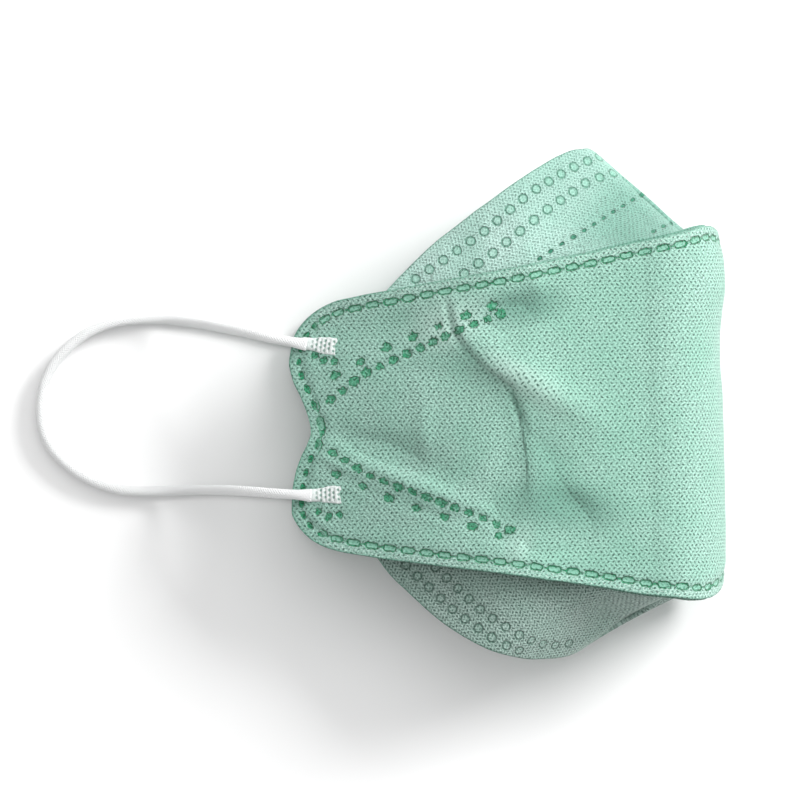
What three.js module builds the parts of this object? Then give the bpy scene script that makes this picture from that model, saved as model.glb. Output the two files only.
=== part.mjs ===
import * as THREE from "three";

// A three-panel fold-flat respirator of green nonwoven, half folded about its upright
// middle line and lying on its far side. Millimetres. +X runs from the ear end to the
// front fold, +Y from chin to nose, +Z up from the surface. The centre panel wraps
// round the front; the nose panel and the chin panel are welded inside its rim, turn
// back at a hinge line and stand out past it. Two elastic loops lie on the surface.

// Named sizes
const HALF_LENGTH = 104.5;    // flat length of half the centre panel, front fold to ear end
const HALF_HEIGHT = 40.7;     // half the height of the centre panel at the front
const CLOTH = 1.0;            // the three-layer cloth
const GAP = 0.3;              // between touching cloths
const FOLD_RADIUS = 16.5;     // the front fold of the centre panel
const FOLD_X = 31;            // where the front fold ends and the sides begin
const FOLD_Z = 17;            // height of the front fold's axis
const SIDE_HEIGHT = 38;       // the near side's crest above the surface
const CORD = 2.2;             // elastic cord across
const LOOP_REACH = 56.5;      // how far the loops reach past the ear end
const LOOP_SPREAD = 33.2;     // between the two welds of a loop
const LOOP_MIDDLE = 1.4;      // the middle of the two welds over the panel's middle line
const ARCH = 1.5;             // how much the near side falls from its middle to its rims
const PEEK = 0.35;            // how far the inner panels' rims show past the centre panel's
const HINGE_FADE = 9;         // how far from its hinge a free part takes up its own slope
const OPENING = 3.0;          // how far the free parts stand off the ear lobes at most
const LAY_X = -0.5;           // puts the middle of the body's box over the origin
const LAY_Y = -3.2;

const LAYER = CLOTH + GAP;
const FOLD_RUN = FOLD_RADIUS * Math.PI / 2;
const PLAN_START = FOLD_X + FOLD_RUN;          // plan x = PLAN_START - run on the sides
const EAR_X = PLAN_START - HALF_LENGTH;        // the ear end in plan
const NEAR_LOBE_Z = 0.763 * SIDE_HEIGHT;       // a cord's middle on the near lobes
const FAR_CORD_Z = CORD / 2 + 0.05;            // the far cord's middle, on the surface
const NEAR_CORD_Z = FAR_CORD_Z + CORD + GAP;   // the near cord's middle, on the far cord

// Heights of the two sides, shares of SIDE_HEIGHT, at shares of HALF_LENGTH from the front
const sideSections = [
  { run: 0.248, near: 0.882, far: 0.0132 },
  { run: 0.334, near: 0.925, far: 0.0132 },
  { run: 0.430, near: 0.968, far: 0.0132 },
  { run: 0.506, near: 1.000, far: 0.0132 },
  { run: 0.564, near: 1.000, far: 0.0132 },
  { run: 0.640, near: 0.968, far: 0.0132 },
  { run: 0.736, near: 0.908, far: 0.0240 },
  { run: 0.832, near: 0.840, far: 0.0500 },
  { run: 0.927, near: 0.770, far: 0.0770 },
  { run: 1.010, near: 0.705, far: 0.0950 },
];

// Rim of the centre panel, laid flat: top from the front fold to the ear lobe, the ear
// end with its notch, and the bottom. run: share of HALF_LENGTH, rise: share of HALF_HEIGHT
const topRim = [
  { run: 0.000, rise: 0.972 }, { run: 0.050, rise: 1.000 }, { run: 0.082, rise: 1.012 },
  { run: 0.112, rise: 1.006 }, { run: 0.168, rise: 0.977 }, { run: 0.234, rise: 0.948 },
  { run: 0.290, rise: 0.922 }, { run: 0.354, rise: 0.890 }, { run: 0.417, rise: 0.864 },
  { run: 0.490, rise: 0.830 }, { run: 0.560, rise: 0.803 }, { run: 0.630, rise: 0.778 },
  { run: 0.700, rise: 0.752 }, { run: 0.795, rise: 0.715 }, { run: 0.833, rise: 0.702 },
  { run: 0.865, rise: 0.687 }, { run: 0.897, rise: 0.672 }, { run: 0.922, rise: 0.648 },
  { run: 0.948, rise: 0.610 }, { run: 0.972, rise: 0.553 }, { run: 0.988, rise: 0.492 },
  { run: 0.996, rise: 0.418 }, { run: 1.001, rise: 0.339 },
];

const earRim = [
  { run: 1.001, rise: 0.339 }, { run: 0.997, rise: 0.285 }, { run: 0.991, rise: 0.231 },
  { run: 0.981, rise: 0.177 }, { run: 0.972, rise: 0.120 }, { run: 0.965, rise: 0.066 },
  { run: 0.960, rise: 0.005 }, { run: 0.959, rise: -0.030 }, { run: 0.966, rise: -0.091 },
  { run: 0.982, rise: -0.170 }, { run: 0.994, rise: -0.251 }, { run: 1.003, rise: -0.356 },
];

const bottomRim = [
  { run: 0.000, rise: -0.912 }, { run: 0.046, rise: -0.956 }, { run: 0.086, rise: -0.984 },
  { run: 0.117, rise: -1.000 }, { run: 0.152, rise: -1.002 }, { run: 0.207, rise: -0.986 },
  { run: 0.273, rise: -0.964 }, { run: 0.347, rise: -0.924 }, { run: 0.422, rise: -0.889 },
  { run: 0.497, rise: -0.857 }, { run: 0.546, rise: -0.835 }, { run: 0.615, rise: -0.807 },
  { run: 0.685, rise: -0.781 }, { run: 0.754, rise: -0.753 }, { run: 0.817, rise: -0.728 },
  { run: 0.858, rise: -0.708 }, { run: 0.900, rise: -0.687 }, { run: 0.932, rise: -0.662 },
  { run: 0.961, rise: -0.624 }, { run: 0.982, rise: -0.575 }, { run: 0.996, rise: -0.526 },
  { run: 1.005, rise: -0.466 }, { run: 1.003, rise: -0.356 },
];

// How far the front line bows out of the fold, shares of FOLD_RADIUS, by height
const frontBow = [
  { rise: -1.00, out: -0.109 }, { rise: -0.91, out: -0.079 }, { rise: -0.85, out: -0.055 },
  { rise: -0.70, out: -0.036 }, { rise: -0.32, out: -0.018 }, { rise: -0.12, out: -0.012 },
  { rise: 0.07, out: -0.012 }, { rise: 0.27, out: -0.030 }, { rise: 0.41, out: -0.018 },
  { rise: 0.54, out: 0.018 }, { rise: 0.69, out: 0.073 }, { rise: 0.81, out: 0.067 },
  { rise: 0.90, out: 0.036 }, { rise: 1.02, out: -0.018 },
];

// The soft crease across the near side: how far along it stands at each height
const creaseLine = [
  { rise: -0.737, run: 0.569 }, { rise: -0.580, run: 0.553 }, { rise: -0.526, run: 0.539 },
  { rise: -0.400, run: 0.511 }, { rise: -0.292, run: 0.507 }, { rise: -0.167, run: 0.510 },
  { rise: 0.012, run: 0.519 }, { rise: 0.177, run: 0.537 }, { rise: 0.273, run: 0.589 },
  { rise: 0.383, run: 0.626 }, { rise: 0.494, run: 0.654 }, { rise: 0.688, run: 0.669 },
];

// Dents and swells of the near side: middle, half widths (shares of HALF_HEIGHT), turn in
// degrees and height (share of SIDE_HEIGHT)
const swells = [
  { run: 0.515, rise: 0.609, wide: 0.160, tall: 0.088, turn: 8, out: -0.021 },
  { run: 0.417, rise: -0.462, wide: 0.123, tall: 0.064, turn: -25, out: -0.021 },
  { run: 0.516, rise: 0.231, wide: 0.270, tall: 0.064, turn: -30, out: 0.021 },
  { run: 0.420, rise: 0.074, wide: 0.221, tall: 0.074, turn: -30, out: 0.013 },
  { run: 0.774, rise: -0.135, wide: 0.197, tall: 0.098, turn: -18, out: -0.018 },
  { run: 0.793, rise: -0.258, wide: 0.270, tall: 0.044, turn: -25, out: 0.013 },
  { run: 0.722, rise: -0.074, wide: 0.049, tall: 0.197, turn: 0, out: 0.013 },
  { run: 0.937, rise: 0.590, wide: 0.221, tall: 0.160, turn: 40, out: -0.021 },
  { run: 0.430, rise: -0.221, wide: 0.172, tall: 0.123, turn: -40, out: -0.013 },
];

// Sections of the two inner panels from the ridge to the ear: the share of the rim, where
// the hinge line runs on the flat centre panel, and where the free edge stands in plan.
// rim: share of the rim's length, hinge and free: shares of HALF_LENGTH from the front,
// hingeUp and freeUp: shares of HALF_HEIGHT
const noseSections = [
  { rim: 0.0000, hinge: 0.0000, hingeUp: 0.8845, free: 0.3294, freeUp: 1.3956 },
  { rim: 0.0312, hinge: 0.0383, hingeUp: 0.9066, free: 0.3428, freeUp: 1.4275 },
  { rim: 0.0625, hinge: 0.0766, hingeUp: 0.9214, free: 0.3609, freeUp: 1.4496 },
  { rim: 0.0976, hinge: 0.1196, hingeUp: 0.9189, free: 0.3849, freeUp: 1.4472 },
  { rim: 0.1406, hinge: 0.1722, hingeUp: 0.8968, free: 0.4212, freeUp: 1.4152 },
  { rim: 0.1874, hinge: 0.2297, hingeUp: 0.8747, free: 0.4643, freeUp: 1.3563 },
  { rim: 0.2460, hinge: 0.2967, hingeUp: 0.8403, free: 0.5160, freeUp: 1.2752 },
  { rim: 0.3046, hinge: 0.3684, hingeUp: 0.7961, free: 0.5696, freeUp: 1.1818 },
  { rim: 0.3709, hinge: 0.4450, hingeUp: 0.7150, free: 0.6270, freeUp: 1.0762 },
  { rim: 0.4490, hinge: 0.5263, hingeUp: 0.6093, free: 0.6882, freeUp: 0.9607 },
  { rim: 0.5388, hinge: 0.6124, hingeUp: 0.5135, free: 0.7514, freeUp: 0.8133 },
  { rim: 0.6325, hinge: 0.6986, hingeUp: 0.4226, free: 0.8107, freeUp: 0.6609 },
  { rim: 0.7419, hinge: 0.7847, hingeUp: 0.3194, free: 0.8652, freeUp: 0.4963 },
  { rim: 0.8512, hinge: 0.8708, hingeUp: 0.2015, free: 0.9121, freeUp: 0.3096 },
  { rim: 0.9650, hinge: 0.9474, hingeUp: 0.0885, free: 0.9485, freeUp: 0.1327 },
];

const chinSections = [
  { rim: 0.0000, hinge: 0.0000, hingeUp: -0.8305, free: 0.4050, freeUp: -1.2506 },
  { rim: 0.0306, hinge: 0.0383, hingeUp: -0.8673, free: 0.4184, freeUp: -1.2678 },
  { rim: 0.0612, hinge: 0.0766, hingeUp: -0.8993, free: 0.4375, freeUp: -1.2850 },
  { rim: 0.0957, hinge: 0.1196, hingeUp: -0.9214, free: 0.4672, freeUp: -1.2948 },
  { rim: 0.1378, hinge: 0.1722, hingeUp: -0.9263, free: 0.5045, freeUp: -1.2948 },
  { rim: 0.1837, hinge: 0.2297, hingeUp: -0.9066, free: 0.5533, freeUp: -1.2752 },
  { rim: 0.2411, hinge: 0.2967, hingeUp: -0.8747, free: 0.6030, freeUp: -1.2334 },
  { rim: 0.2985, hinge: 0.3684, hingeUp: -0.8231, free: 0.6499, freeUp: -1.1671 },
  { rim: 0.3636, hinge: 0.4450, hingeUp: -0.7322, free: 0.7007, freeUp: -1.0737 },
  { rim: 0.4401, hinge: 0.5263, hingeUp: -0.6241, free: 0.7542, freeUp: -0.9435 },
  { rim: 0.5282, hinge: 0.6124, hingeUp: -0.5258, free: 0.8040, freeUp: -0.8084 },
  { rim: 0.6200, hinge: 0.6986, hingeUp: -0.4373, free: 0.8451, freeUp: -0.6511 },
  { rim: 0.7272, hinge: 0.7847, hingeUp: -0.3342, free: 0.8853, freeUp: -0.4742 },
  { rim: 0.8344, hinge: 0.8708, hingeUp: -0.2211, free: 0.9227, freeUp: -0.3047 },
  { rim: 0.9650, hinge: 0.9474, hingeUp: -0.1106, free: 0.9514, freeUp: -0.1572 },
];

// The ridge of each inner panel in plan, from its hinge (t 0) to its free edge (t 1)
const noseRidge = [
  { t: 0, run: 0.1179, rise: 0.8845 }, { t: 0.12, run: 0.1485, rise: 0.9337 },
  { t: 0.25, run: 0.1810, rise: 1.0074 }, { t: 0.5, run: 0.2308, rise: 1.1474 },
  { t: 0.75, run: 0.2815, rise: 1.2727 }, { t: 1, run: 0.3294, rise: 1.3956 },
];

const chinRidge = [
  { t: 0, run: 0.1313, rise: -0.8305 }, { t: 0.12, run: 0.1581, rise: -0.8845 },
  { t: 0.25, run: 0.1944, rise: -0.9361 }, { t: 0.5, run: 0.2672, rise: -1.0295 },
  { t: 0.75, run: 0.3351, rise: -1.1351 }, { t: 1, run: 0.4050, rise: -1.2506 },
];

// How far each inner panel stands open: roundness of its ridge and slope beside it
const nosePanel = {
  name: "nose_panel", up: 1, sections: noseSections, ridge: noseRidge, ridgeRadius: 5.0, slope: 0.55,
};
const chinPanel = {
  name: "chin_panel", up: -1, sections: chinSections, ridge: chinRidge, ridgeRadius: 5.0, slope: 1.0,
};

// Elastic loops, each from its upper weld to its lower weld. out: share of LOOP_REACH past
// the ear end, up: share of LOOP_SPREAD from the middle of the welds, drop: share of the
// way down from the near lobe to the height at which the near cord lies on the far one
const nearLoopRoute = [
  { out: -0.0687, up: 0.5000, drop: -0.0335 }, { out: -0.0172, up: 0.5182, drop: -0.0020 },
  { out: 0.0663, up: 0.5486, drop: 0.0565 }, { out: 0.1593, up: 0.5916, drop: 0.1945 },
  { out: 0.2459, up: 0.6259, drop: 0.3975 }, { out: 0.3314, up: 0.6606, drop: 0.6381 },
  { out: 0.4007, up: 0.6828, drop: 0.8067 }, { out: 0.4732, up: 0.7018, drop: 0.9247 },
  { out: 0.5471, up: 0.7082, drop: 0.9794 }, { out: 0.6153, up: 0.7083, drop: 0.9976 },
  { out: 0.6762, up: 0.6992, drop: 1.0000 }, { out: 0.7388, up: 0.6718, drop: 1.0000 },
  { out: 0.7996, up: 0.6261, drop: 1.0000 }, { out: 0.8587, up: 0.5591, drop: 1.0000 },
  { out: 0.9106, up: 0.4739, drop: 1.0000 }, { out: 0.9535, up: 0.3703, drop: 1.0000 },
  { out: 0.9786, up: 0.2607, drop: 1.0000 }, { out: 0.9893, up: 0.1480, drop: 1.0000 },
  { out: 0.9875, up: 0.0475, drop: 1.0000 }, { out: 0.9750, up: -0.0530, drop: 1.0000 },
  { out: 0.9464, up: -0.1444, drop: 1.0000 }, { out: 0.9070, up: -0.2236, drop: 1.0000 },
  { out: 0.8569, up: -0.2967, drop: 1.0000 }, { out: 0.7978, up: -0.3576, drop: 1.0000 },
  { out: 0.7388, up: -0.4002, drop: 1.0000 }, { out: 0.6797, up: -0.4276, drop: 1.0000 },
  { out: 0.6207, up: -0.4398, drop: 0.9979 }, { out: 0.5525, up: -0.4443, drop: 0.9824 },
  { out: 0.4805, up: -0.4440, drop: 0.9357 }, { out: 0.3988, up: -0.4432, drop: 0.8023 },
  { out: 0.3096, up: -0.4464, drop: 0.5759 }, { out: 0.2242, up: -0.4541, drop: 0.3464 },
  { out: 0.1378, up: -0.4681, drop: 0.1620 }, { out: 0.0539, up: -0.4825, drop: 0.0472 },
  { out: -0.0208, up: -0.4942, drop: -0.0158 }, { out: -0.0696, up: -0.5000, drop: -0.0434 },
];

const farLoopRoute = [
  { out: -0.0705, up: 0.4940 }, { out: -0.0124, up: 0.5230 }, { out: 0.0718, up: 0.5535 },
  { out: 0.1649, up: 0.5962 }, { out: 0.2509, up: 0.6297 }, { out: 0.3351, up: 0.6633 },
  { out: 0.4032, up: 0.6846 }, { out: 0.4749, up: 0.7029 }, { out: 0.5483, up: 0.7090 },
  { out: 0.6164, up: 0.7090 }, { out: 0.6773, up: 0.6998 }, { out: 0.7400, up: 0.6724 },
  { out: 0.8009, up: 0.6267 }, { out: 0.8600, up: 0.5596 }, { out: 0.9120, up: 0.4742 },
  { out: 0.9550, up: 0.3706 }, { out: 0.9801, up: 0.2608 }, { out: 0.9908, up: 0.1480 },
  { out: 0.9890, up: 0.0474 }, { out: 0.9765, up: -0.0532 }, { out: 0.9478, up: -0.1447 },
  { out: 0.9084, up: -0.2239 }, { out: 0.8582, up: -0.2971 }, { out: 0.7991, up: -0.3581 },
  { out: 0.7400, up: -0.4007 }, { out: 0.6809, up: -0.4282 }, { out: 0.6218, up: -0.4404 },
  { out: 0.5537, up: -0.4450 }, { out: 0.4820, up: -0.4450 }, { out: 0.4014, up: -0.4450 },
  { out: 0.3136, up: -0.4495 }, { out: 0.2294, up: -0.4587 }, { out: 0.1434, up: -0.4739 },
  { out: 0.0592, up: -0.4892 }, { out: -0.0160, up: -0.5014 }, { out: -0.0705, up: -0.4970 },
];

// The flattened, welded end of each loop on its lobe: inner end, turn and size
const END_LENGTH = 5.4;
const END_WIDTH = 3.2;
const END_THICK = 1.0;
const END_INSET = 4.7;        // from the ear end to where the flattened end begins

// Smooth reading of a table: a cubic through the rows that never overshoots
function readTable(rows, key, at, value) {
  const n = rows.length;
  if (at <= rows[0][key]) return rows[0][value];
  if (at >= rows[n - 1][key]) return rows[n - 1][value];
  let k = 0;
  while (at > rows[k + 1][key]) k++;
  const slope = (i) => {
    if (i <= 0 || i >= n - 1) return 0;
    const a = (rows[i][value] - rows[i - 1][value]) / (rows[i][key] - rows[i - 1][key]);
    const b = (rows[i + 1][value] - rows[i][value]) / (rows[i + 1][key] - rows[i][key]);
    return a * b <= 0 ? 0 : (2 * a * b) / (a + b);
  };
  const h = rows[k + 1][key] - rows[k][key];
  const f = (at - rows[k][key]) / h;
  const m0 = (k === 0 ? (rows[1][value] - rows[0][value]) / h : slope(k)) * h;
  const m1 = (k === n - 2 ? (rows[n - 1][value] - rows[n - 2][value]) / h : slope(k + 1)) * h;
  const f2 = f * f, f3 = f2 * f;
  return (2 * f3 - 3 * f2 + 1) * rows[k][value] + (f3 - 2 * f2 + f) * m0
    + (3 * f2 - 2 * f3) * rows[k + 1][value] + (f3 - f2) * m1;
}
const smooth = (a, b, v) => {
  const f = Math.min(1, Math.max(0, (v - a) / (b - a)));
  return f * f * (3 - 2 * f);
};

// A rim line in flat millimetres, with the distance along it, read by that distance
function rimLine(rows) {
  const line = rows.map((r) => ({ u: r.run * HALF_LENGTH, y: r.rise * HALF_HEIGHT, d: 0 }));
  for (let k = 1; k < line.length; k++) {
    line[k].d = line[k - 1].d + Math.hypot(line[k].u - line[k - 1].u, line[k].y - line[k - 1].y);
  }
  return line;
}
const topLine = rimLine(topRim);
const bottomLine = rimLine(bottomRim);
const earLine = rimLine(earRim);
const noseRim = rimLine([...topRim, ...earRim.slice(1, 7)]);
const chinRim = rimLine([...bottomRim, ...earRim.slice(6, 11).reverse()]);
function onRim(line, share) {
  const d = share * line[line.length - 1].d;
  return { u: readTable(line, "d", d, "u"), y: readTable(line, "d", d, "y") };
}
const rimWidth = (line, u) => readTable(line.slice(0, line.length - 1), "u", u, "y");

// Height of a side over the surface at a plan position; side is 1 near, -1 far
function sideHeight(x, side) {
  const run = (PLAN_START - x) / HALF_LENGTH;
  return SIDE_HEIGHT * readTable(sideSections, "run", run, side > 0 ? "near" : "far");
}
// Arch, crease, dents and swells of the near side
function nearRelief(u, y) {
  const rise = y / HALF_HEIGHT;
  const on = smooth(FOLD_RUN * 0.7, FOLD_RUN * 1.5, u);
  let out = -ARCH * on * rise * rise;
  const past = readTable(creaseLine, "rise", rise, "run") * HALF_LENGTH - u;
  const fade = Math.exp(-(((past + 9) / 12) ** 2)) * (1 - smooth(0.47, 0.71, Math.abs(rise)));
  out += on * fade * (0.9 * Math.tanh(past / 1.6) - 0.5);
  for (const s of swells) {
    const a = s.turn * Math.PI / 180;
    const dx = s.run * HALF_LENGTH - u, dy = y - s.rise * HALF_HEIGHT;
    const along = (dx * Math.cos(a) + dy * Math.sin(a)) / (s.wide * HALF_HEIGHT);
    const across = (dy * Math.cos(a) - dx * Math.sin(a)) / (s.tall * HALF_HEIGHT);
    out += on * s.out * SIDE_HEIGHT * Math.exp(-(along * along + across * across));
  }
  return out;
}
// A point of the centre panel's middle surface; u from -HALF_LENGTH (far) to HALF_LENGTH
function panelBase(u, y) {
  const side = u < 0 ? -1 : 1, run = Math.abs(u);
  const front = 1 - smooth(0, FOLD_RUN, run);
  const bow = front * FOLD_RADIUS * readTable(frontBow, "rise", y / HALF_HEIGHT, "out");
  if (run < FOLD_RUN) {
    const a = run / FOLD_RADIUS;
    return new THREE.Vector3(FOLD_X + (FOLD_RADIUS + bow) * Math.cos(a), y,
      FOLD_Z + side * (FOLD_RADIUS + bow * 0.3) * Math.sin(a));
  }
  const x = PLAN_START - run;
  return new THREE.Vector3(x, y, sideHeight(x, side));
}
function panelSurface(u, y) {
  const p = panelBase(u, y);
  if (u > 0) {
    const e = 0.2, a = panelBase(u + e, y), b = panelBase(u - e, y);
    const n = new THREE.Vector3(a.z - b.z, 0, b.x - a.x).normalize();
    p.addScaledVector(n, nearRelief(u, y));
  }
  return p;
}
// The same surface moved into the hollow by depth, along its own normal
function inside(u, y, depth) {
  const e = 0.3, p = panelSurface(u, y);
  const du = panelSurface(u + e, y).sub(panelSurface(u - e, y));
  const dy = panelSurface(u, y + e).sub(panelSurface(u, y - e));
  const n = du.cross(dy).normalize();
  return { point: p.clone().addScaledVector(n, depth), inward: n };
}

// Closed cloth solid from a grid of middle points [station][row], half a cloth each way
function clothSolid(grid, name, material) {
  const n = grid.length, m = grid[0].length;
  const normal = (i, j) => {
    const a = grid[Math.min(i + 1, n - 1)][j].clone().sub(grid[Math.max(i - 1, 0)][j]);
    const b = grid[i][Math.min(j + 1, m - 1)].clone().sub(grid[i][Math.max(j - 1, 0)]);
    return a.cross(b).normalize();
  };
  const points = [];
  for (const side of [1, -1]) {
    for (let i = 0; i < n; i++) {
      for (let j = 0; j < m; j++) {
        points.push(grid[i][j].clone().addScaledVector(normal(i, j), side * CLOTH / 2));
      }
    }
  }
  const at = (side, i, j) => (side > 0 ? 0 : n * m) + i * m + j;
  const faces = [];
  const quad = (a, b, c, d) => faces.push(a, b, c, a, c, d);
  for (let i = 0; i + 1 < n; i++) {
    for (let j = 0; j + 1 < m; j++) {
      quad(at(1, i, j), at(1, i + 1, j), at(1, i + 1, j + 1), at(1, i, j + 1));
      quad(at(-1, i, j), at(-1, i, j + 1), at(-1, i + 1, j + 1), at(-1, i + 1, j));
    }
  }
  for (let i = 0; i + 1 < n; i++) {
    quad(at(1, i + 1, 0), at(1, i, 0), at(-1, i, 0), at(-1, i + 1, 0));
    quad(at(1, i, m - 1), at(1, i + 1, m - 1), at(-1, i + 1, m - 1), at(-1, i, m - 1));
  }
  for (let j = 0; j + 1 < m; j++) {
    quad(at(1, 0, j), at(1, 0, j + 1), at(-1, 0, j + 1), at(-1, 0, j));
    quad(at(1, n - 1, j + 1), at(1, n - 1, j), at(-1, n - 1, j), at(-1, n - 1, j + 1));
  }
  return meshOf(points, faces, name, material);
}
function meshOf(points, faces, name, material) {
  let volume = 0;
  for (let k = 0; k < faces.length; k += 3) {
    volume += points[faces[k]].dot(points[faces[k + 1]].clone().cross(points[faces[k + 2]]));
  }
  if (volume < 0) faces.reverse();
  const geometry = new THREE.BufferGeometry();
  geometry.setAttribute("position", new THREE.Float32BufferAttribute(
    points.flatMap((p) => [p.x + LAY_X, p.y + LAY_Y, p.z]), 3));
  geometry.setIndex(faces);
  geometry.computeVertexNormals();
  const mesh = new THREE.Mesh(geometry, material);
  mesh.name = name;
  return mesh;
}

// The centre panel: stations from the far ear end round the front to the near ear end
const PANEL_STATIONS = 27;
const PANEL_ROWS = 17;
function flatPoint(a, v) {
  const t = onRim(topLine, a), b = onRim(bottomLine, a);
  const w = (v + 1) / 2;
  const ear = onRim(earLine, 1 - w);
  const front = bottomLine[0].y + (topLine[0].y - bottomLine[0].y) * w;
  const corner = (p, q) => ({ p, q });
  const c00 = corner(0, bottomLine[0].y), c01 = corner(0, topLine[0].y);
  const c10 = onRim(bottomLine, 1), c11 = onRim(topLine, 1);
  const u = (1 - w) * b.u + w * t.u + a * ear.u
    - a * ((1 - w) * c10.u + w * c11.u);
  const y = (1 - w) * b.y + w * t.y + (1 - a) * front + a * ear.y
    - (1 - a) * ((1 - w) * c00.q + w * c01.q) - a * ((1 - w) * c10.y + w * c11.y);
  return { u, y };
}
function centrePanel(material) {
  const grid = [];
  for (let k = -PANEL_STATIONS; k <= PANEL_STATIONS; k++) {
    const a = Math.abs(k) / PANEL_STATIONS, row = [];
    for (let j = 0; j < PANEL_ROWS; j++) {
      const v = Math.sin((2 * j / (PANEL_ROWS - 1) - 1) * 1.35) / Math.sin(1.35);
      const f = flatPoint(a, v);
      row.push(panelSurface(k < 0 ? -f.u : f.u, f.y));
    }
    grid.push(row);
  }
  return clothSolid(grid, "centre_panel", material);
}

// An inner panel. Its welded part lies one layer inside the centre panel, from the rim
// to the hinge line; there it turns back on a tight fold, and its free part stands out.
const planPoint = (run, rise) => ({ x: PLAN_START - run * HALF_LENGTH, y: rise * HALF_HEIGHT });
function planDistance(panel, x, y) {
  let best = 1e9;
  const line = panel.ridge.map((r) => planPoint(r.run, r.rise));
  for (let k = 1; k < line.length; k++) {
    const a = line[k - 1], b = line[k];
    const dx = b.x - a.x, dy = b.y - a.y;
    let f = ((x - a.x) * dx + (y - a.y) * dy) / (dx * dx + dy * dy);
    f = k === line.length - 1 ? Math.max(0, f) : Math.min(1, Math.max(0, f));
    best = Math.min(best, Math.hypot(x - a.x - f * dx, y - a.y - f * dy));
  }
  return best;
}
function tent(panel, d) {
  const r = panel.ridgeRadius, stop = Math.atan(1 / panel.slope);
  const flat = r * (1 - Math.cos(stop));
  if (d < flat) return r * Math.sin(Math.acos(1 - d / r));
  return r * Math.sin(stop) + (d - flat) * panel.slope;
}
// The lower of two heights, rounded over where they cross
function lower(a, b) {
  const k = 4, h = Math.max(k - Math.abs(a - b), 0) / k;
  return Math.min(a, b) - h * h * k / 4;
}
function freePoint(panel, side, section, t, hinge) {
  const first = panel.ridge[0], last = panel.ridge[panel.ridge.length - 1];
  const on = planPoint(readTable(panel.ridge, "t", t, "run"), readTable(panel.ridge, "t", t, "rise"));
  const p0 = planPoint(first.run, first.rise), p1 = planPoint(last.run, last.rise);
  const pull = (1 - section.share) ** 6;
  const x = hinge.x + (section.freeX - hinge.x) * t + (on.x - p0.x - (p1.x - p0.x) * t) * pull;
  const y = hinge.y + (section.freeY - hinge.y) * t + (on.y - p0.y - (p1.y - p0.y) * t) * pull;
  const plan = Math.min(x, FOLD_X);
  const near = sideHeight(plan, 1), far = sideHeight(plan, -1);
  const away = Math.hypot(x - hinge.x, y - hinge.y);
  let room = (near - far) / 2 - 2 * LAYER - Math.min(OPENING, 0.12 * away);
  const arch = Math.min(1, (y / HALF_HEIGHT) ** 2);
  if (side > 0) room -= ARCH * smooth(FOLD_X, FOLD_X - 14, x) * arch;
  const atHinge = lower(tent(panel, planDistance(panel, hinge.x, hinge.y)), section.hingeRoom);
  let q = lower(tent(panel, planDistance(panel, x, y)), room);
  q += (section.hingeQ - atHinge) * Math.exp(-((away / HINGE_FADE) ** 2));
  if (section.share === 0) q = 0;
  return new THREE.Vector3(x, y, (near + far) / 2 + side * q);
}
const INNER_STATIONS = 24;
function innerPanel(panel, material) {
  const rim = panel.up > 0 ? noseRim : chinRim;
  const rows = panel.sections.map((s, k) => ({ ...s, k }));
  const grid = [];
  for (let n = -INNER_STATIONS; n <= INNER_STATIONS; n++) {
    const side = n < 0 ? -1 : 1, share = Math.abs(n) / INNER_STATIONS;
    const get = (v) => readTable(rows, "k", share * (rows.length - 1), v);
    const edge = onRim(rim, get("rim"));
    const hu = get("hinge") * HALF_LENGTH, hy = get("hingeUp") * HALF_HEIGHT;
    const ou = edge.u + PEEK * smooth(0.85, 0.95, edge.u / HALF_LENGTH);
    const oy = edge.y + panel.up * PEEK * (1 - share ** 4);
    const line = [];
    for (const f of [0, 0.4, 0.8, 1]) {
      line.push(inside(side * (ou + (hu - ou) * f), oy + (hy - oy) * f, LAYER).point);
    }
    const h = inside(side * hu, hy, LAYER * 1.5);
    const back = inside(side * (hu + (hu - ou) * 0.02), hy + (hy - oy) * 0.02, LAYER * 1.5)
      .point.sub(h.point).normalize();
    for (const f of [0.25, 0.5, 0.75]) {
      line.push(h.point.clone().addScaledVector(back, (LAYER / 2) * Math.sin(f * Math.PI))
        .addScaledVector(h.inward, -(LAYER / 2) * Math.cos(f * Math.PI)));
    }
    const start = inside(side * hu, hy, 2 * LAYER).point;
    line.push(start.clone());
    const plan = Math.min(start.x, FOLD_X);
    const near = sideHeight(plan, 1), far = sideHeight(plan, -1);
    const free = planPoint(get("free"), get("freeUp"));
    const section = {
      share, freeX: free.x, freeY: free.y, hingeRoom: (near - far) / 2 - 2 * LAYER,
      hingeQ: n === 0 ? 0 : Math.max(0, side * (start.z - (near + far) / 2)),
    };
    for (const t of [0.08, 0.25, 0.45, 0.65, 0.83, 1]) {
      line.push(freePoint(panel, side, section, t, start));
    }
    grid.push(panel.up > 0 ? line : line.reverse());
  }
  return clothSolid(grid, panel.name, material);
}

// A loop's cord: eight-sided tube on its route
function loopCord(route, name, material) {
  const path = new THREE.CatmullRomCurve3(route.map((p) => new THREE.Vector3(
    EAR_X - p.out * LOOP_REACH + LAY_X, LOOP_MIDDLE + p.up * LOOP_SPREAD + LAY_Y,
    p.drop === undefined ? FAR_CORD_Z : NEAR_LOBE_Z + (NEAR_CORD_Z - NEAR_LOBE_Z) * p.drop,
  )), false, "centripetal");
  const shape = new THREE.Shape();
  for (let k = 0; k < 8; k++) {
    const a = (k + 0.5) * Math.PI / 4, r = CORD / 2;
    if (k === 0) shape.moveTo(r * Math.cos(a), r * Math.sin(a));
    else shape.lineTo(r * Math.cos(a), r * Math.sin(a));
  }
  shape.closePath();
  const geometry = new THREE.ExtrudeGeometry(shape, { steps: 62, extrudePath: path, bevelEnabled: false });
  const mesh = new THREE.Mesh(geometry, material);
  mesh.name = name;
  return mesh;
}
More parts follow.
